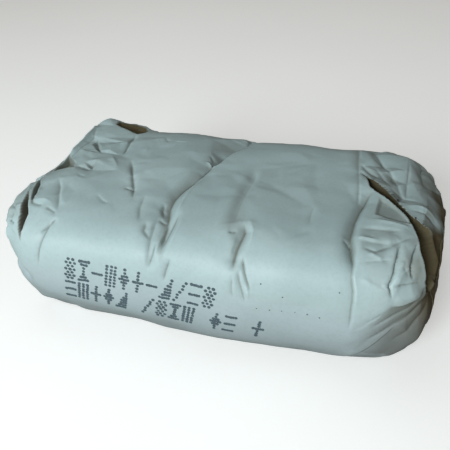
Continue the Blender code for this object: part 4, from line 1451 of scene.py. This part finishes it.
def build_end_patch(paper, name, node, sign, material):
    """The cover sheet glued over one block bottom: two faces of paper and its cut edge."""
    sheet = paper.sheet
    on_end = sheet.cube[:, 0] * sign > 1 - SLACK
    share = np.maximum(np.abs(sheet.cube[:, 1]), np.abs(sheet.cube[:, 2]))
    covered = on_end & (share < PATCH_SHARE)
    whole = np.logical_and.reduceat(covered[sheet.loops], sheet.starts)
    chosen = whole[sheet.cell_of]
    loops = sheet.loops[chosen]
    following = sheet.loops[sheet.following][chosen]
    counts = sheet.counts[whole]
    used, loops = np.unique(loops, return_inverse=True)
    following = np.searchsorted(used, following)
    number = len(used)
    edges = loops * number + following
    border = ~np.isin(edges, following * number + loops)
    starts, ends = loops[border], following[border]
    rim = np.stack([ends, starts, starts + number, ends + number], axis=1).ravel()
    cells = np.split(loops + number, np.cumsum(counts)[:-1])
    inner = np.concatenate([cell[::-1] for cell in cells])
    points = paper.points[used]
    out = paper.turned[used]
    points = np.concatenate([points + out * (PATCH_GAP + PATCH_PAPER), points + out * PATCH_GAP])
    points[:, 2] = np.maximum(points[:, 2], 0.0)
    loops = np.concatenate([loops, inner, rim])
    counts = np.concatenate([counts, counts, np.full(int(border.sum()), 4)])
    patch = mesh_object(name, points, loops, counts, material)
    store_share(patch, "fold_wear", np.tile(paper.wear[used], 2))
    store_share(patch, "painted_shade_share", np.tile(paper.shade[used], 2))
    finish_piece(patch, node)


def front_tree(paper):
    """The folded paper of the front, to cast places onto."""
    sheet = paper.sheet
    depth = np.add.reduceat(paper.points[sheet.loops, 1], sheet.starts) / sheet.counts
    front = np.nonzero(depth < -FRONT_SHARE * HALF_WIDTH)[0]
    ends = sheet.starts + sheet.counts
    cells = [sheet.loops[sheet.starts[k]:ends[k]].tolist() for k in front]
    return BVHTree.FromPolygons(paper.points.tolist(), cells)


def mark_dots(name):
    """The columns from -2 to 2 and rows from -3 to 3 of a plain mark's dots."""
    rules = {
        "checks": lambda column, row: (column + row) % 2 == 0,
        "dash": lambda column, row: row == 0,
        "bars": lambda column, row: column % 2 == 0,
        "rows": lambda column, row: row % 3 == 0,
        "plus": lambda column, row: column == 0 or row == 0,
        "slant": lambda column, row: abs(2 * row - 3 * column) <= 1,
        "ramp": lambda column, row: 2 * row <= 3 * column,
        "lozenge": lambda column, row: 3 * abs(column) + 2 * abs(row) <= 6,
        "hourglass": lambda column, row: 3 * abs(column) <= 2 * abs(row),
        "none": lambda column, row: False,
    }
    dots = [(column, row) for column in range(-2, 3) for row in range(-3, 4)]
    return [(column, row) for column, row in dots if rules[name](column, row)]


def mark_places():
    """Where each dot of ink is meant to be, as x and z, and its size as a share."""
    chance = np.random.default_rng(MARK_SEED)
    places, sizes = [], []
    for (first_x, first_z), pitch, row_step, slope, names in MARK_LINES:
        for number, name in enumerate(names.split()):
            x, z = first_x + number * pitch, first_z + number * pitch * slope
            for column, row in mark_dots(name):
                along = column * COLUMN_STEP + MARK_LEAN * row * row_step
                uneven = chance.normal(size=2) * MARK_UNEVENNESS
                places.append((x + along + uneven[0], z + row * row_step + slope * along + uneven[1]))
                sizes.append(chance.uniform(*DOT_SIZES))
    for x, z in SPECKS:
        places.append((x, z))
        sizes.append(SPECK_SIZE * chance.uniform(*SPECK_SIZES))
    return places, sizes


def dot_tree(material):
    """Geometry Nodes that set a small disc of ink on each place, flat against the paper."""
    tree = bpy.data.node_groups.new("ink_dots", "GeometryNodeTree")
    sockets = (
        ("Geometry", "INPUT", "NodeSocketGeometry"),
        ("Radius", "INPUT", "NodeSocketFloat"),
        ("Thickness", "INPUT", "NodeSocketFloat"),
        ("Geometry", "OUTPUT", "NodeSocketGeometry"),
    )
    for name, side, kind in sockets:
        tree.interface.new_socket(name, in_out=side, socket_type=kind)
    given = add_node(tree, "NodeGroupInput", {})
    inputs = {"Vertices": DOT_SIDES, "Radius": given.outputs["Radius"], "Depth": given.outputs["Thickness"]}
    disc = add_node(tree, "GeometryNodeMeshCylinder", inputs)
    named = "GeometryNodeInputNamedAttribute"
    way = add_node(tree, named, {"Name": "dot_way"}, data_type="FLOAT_VECTOR")
    inputs = {"Vector": way.outputs["Attribute"]}
    turn = add_node(tree, "FunctionNodeAlignRotationToVector", inputs, axis="Z")
    size = add_node(tree, named, {"Name": "dot_size"}, data_type="FLOAT")
    inputs = {
        "Points": given.outputs["Geometry"], "Instance": disc.outputs["Mesh"],
        "Rotation": turn.outputs["Rotation"], "Scale": size.outputs["Attribute"],
    }
    spread = add_node(tree, "GeometryNodeInstanceOnPoints", inputs)
    real = add_node(tree, "GeometryNodeRealizeInstances", {"Geometry": spread.outputs["Instances"]})
    inputs = {"Geometry": real.outputs["Geometry"], "Material": material}
    dressed = add_node(tree, "GeometryNodeSetMaterial", inputs)
    add_node(tree, "NodeGroupOutput", {"Geometry": dressed.outputs["Geometry"]})
    return tree


def build_marks(paper, material):
    """Two lines of plain marks and stray specks, printed on the long side before the sack was filled."""
    tree = front_tree(paper)
    places, sizes = mark_places()
    points, ways = [], []
    for x, z in places:
        point, way, _, _ = tree.ray_cast(Vector((x, -2 * HALF_WIDTH, z)), Vector((0, 1, 0)))
        points.append(point)
        ways.append(way)
    data = bpy.data.meshes.new("mark_places")
    data.from_pydata(points, [], [])
    dot_way = data.attributes.new("dot_way", "FLOAT_VECTOR", "POINT")
    dot_way.data.foreach_set("vector", np.array(ways).ravel())
    dot_size = data.attributes.new("dot_size", "FLOAT", "POINT")
    dot_size.data.foreach_set("value", np.array(sizes))
    carrier = add_object("mark_places", data)
    dots = carrier.modifiers.new("Ink dots", "NODES")
    dots.node_group = dot_tree(material)
    values = {"Radius": DOT_RADIUS, "Thickness": DOT_THICKNESS}
    for socket in dots.node_group.interface.items_tree:
        if socket.name in values:
            dots[socket.identifier] = values[socket.name]
    evaluated = carrier.evaluated_get(bpy.context.evaluated_depsgraph_get())
    marks = add_object("printed_marks", bpy.data.meshes.new_from_object(evaluated))
    bpy.data.objects.remove(carrier, do_unlink=True)
    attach(marks, "root")


def waves(kinds, height, inwards):
    """Waves over the valve's tube, added up."""
    return sum(size * np.sin(up * height + deep * inwards + start) for size, up, deep, start in kinds)


def build_sleeve(material):
    """The valve's flat kraft tube, with a softly opened and creased mouth."""
    rows, columns = SLEEVE_CELLS
    angles = np.arange(columns) / columns * 2 * math.pi
    inwards, around = np.meshgrid(np.linspace(0, 1, rows), angles, indexing="ij")
    height, side = np.cos(around), np.sin(around)
    bulge = np.sign(side) * np.abs(side) ** SLEEVE_POWER
    openness = SLEEVE_FLAT + (SLEEVE_OPEN - SLEEVE_FLAT) * np.exp(-(inwards / OPEN_REACH) ** 2)
    wave = waves(SLEEVE_WAVES, height, inwards) * np.exp(-(inwards / WAVE_REACH) ** 2)
    ragged = waves(RAGGED_WAVES, height, inwards) * np.exp(-(inwards / RAGGED_REACH) ** 2)
    turn = np.array(Matrix.Rotation(math.radians(-SLEEVE_TURN), 3, "Z"))
    layers = []
    for inset in (0.0, SLEEVE_PAPER):
        x = bulge * (openness - inset) + wave
        y = -inwards * SLEEVE_LENGTH + ragged
        z = height * (SLEEVE_HEIGHT / 2 - inset)
        layer = np.stack([x, y, z], axis=-1).reshape(-1, 3)
        layers.append(layer @ turn.T + np.array(SLEEVE_MOUTH))
    count = rows * columns
    row, column = np.meshgrid(np.arange(rows - 1), np.arange(columns), indexing="ij")
    here = (row * columns + column).ravel()
    beside = (row * columns + (column + 1) % columns).ravel()
    outer = np.stack([here, here + columns, beside + columns, beside], axis=1)
    inner = outer[:, ::-1] + count
    ring = np.arange(columns)
    following = (ring + 1) % columns
    mouth = np.stack([following + count, ring + count, ring, following], axis=1)
    last = (rows - 1) * columns
    far = np.stack([ring + count, following + count, following, ring], axis=1) + last
    cells = np.concatenate([outer, inner, mouth, far])
    counts = np.full(len(cells), 4)
    sleeve = mesh_object("valve_tube", np.concatenate(layers), cells.ravel(), counts, material)
    store_share(sleeve, "fold_wear", np.full(2 * count, FLAT_PAPER_TONE))
    # Painted shade inside the tube
    inside = np.full(count, SLEEVE_INSIDE_SHADE)
    store_share(sleeve, "painted_shade_share", np.concatenate([np.zeros(count), inside]))
    finish_piece(sleeve, "valve_sleeve")


# Stage

def build_camera():
    """The camera, turned from its yaw, dip and roll."""
    yaw = math.radians(CAMERA_YAW)
    down = math.radians(CAMERA_DOWN)
    roll = math.radians(CAMERA_ROLL)
    ahead = Vector((math.sin(yaw) * math.cos(down), math.cos(yaw) * math.cos(down), -math.sin(down)))
    right = ahead.cross(Vector((0, 0, 1))).normalized()
    up = right.cross(ahead)
    turned_right = math.cos(roll) * right + math.sin(roll) * up
    turned_up = -math.sin(roll) * right + math.cos(roll) * up
    data = bpy.data.cameras.new("camera")
    data.sensor_width = SENSOR
    data.lens = CAMERA_LENS
    data.clip_start = CAMERA_CLIP
    camera = add_object("camera", data)
    turn = Matrix((turned_right, turned_up, -ahead)).transposed().to_4x4()
    camera.matrix_world = Matrix.Translation(CAMERA_PLACE) @ turn
    bpy.context.scene.camera = camera


# Lights: name, place, aim, size, power and colour
LIGHTS = (
    ("key", (-0.50, -1.70, 0.90), (0, 0, 0.06), 0.8, 34, (0.91, 0.99, 1.0)),
    ("overhead", (-0.5, 0.5, 1.8), (0, 0, 0.1), 1.4, 4.5, (0.88, 1.0, 0.99)),
)
# The studio's own light
WORLD_COLOUR = (1.0, 0.88, 0.76, 1)
WORLD_STRENGTH = 0.13
# Half the floor's side, and how far it lies under the sack
FLOOR_REACH = 6.0
FLOOR_DROP = 0.0002


def add_light(name, place, aim, size, power, colour):
    """A square light that points at a place."""
    data = bpy.data.lights.new(name, "AREA")
    data.shape = "SQUARE"
    data.size = size
    data.energy = power
    data.color = colour
    light = add_object(name, data)
    light.location = place
    direction = Vector(aim) - Vector(place)
    light.rotation_euler = direction.to_track_quat("-Z", "Y").to_euler()


def build_stage():
    """The floor, the studio's own light and the two lights."""
    mesh = bmesh.new()
    bmesh.ops.create_grid(mesh, x_segments=1, y_segments=1, size=FLOOR_REACH)
    data = bpy.data.meshes.new("floor")
    mesh.to_mesh(data)
    mesh.free()
    floor = add_object("floor", data)
    floor.location = (0, 0, -FLOOR_DROP)
    data.materials.append(make_floor())
    world = bpy.data.worlds.new("studio")
    world.use_nodes = True
    background = world.node_tree.nodes["Background"]
    background.inputs["Color"].default_value = WORLD_COLOUR
    background.inputs["Strength"].default_value = WORLD_STRENGTH
    bpy.context.scene.world = world
    for light in LIGHTS:
        add_light(*light)
    bpy.context.scene.view_settings.view_transform = "Standard"


white_kraft = make_kraft("white_kraft_paper", *WHITE_KRAFT)
patch_kraft = make_kraft("patch_paper", *PATCH_KRAFT)
brown_kraft = make_kraft("brown_kraft_paper", *BROWN_KRAFT)
folded = build_sack(white_kraft)
build_filling(make_dry_mix())
build_end_patch(folded, "patch_over_left_bottom", "end_patch_left", -1, patch_kraft)
build_end_patch(folded, "patch_over_right_bottom", "end_patch_right", 1, patch_kraft)
build_sleeve(brown_kraft)
build_marks(folded, make_ink())
build_camera()
build_stage()
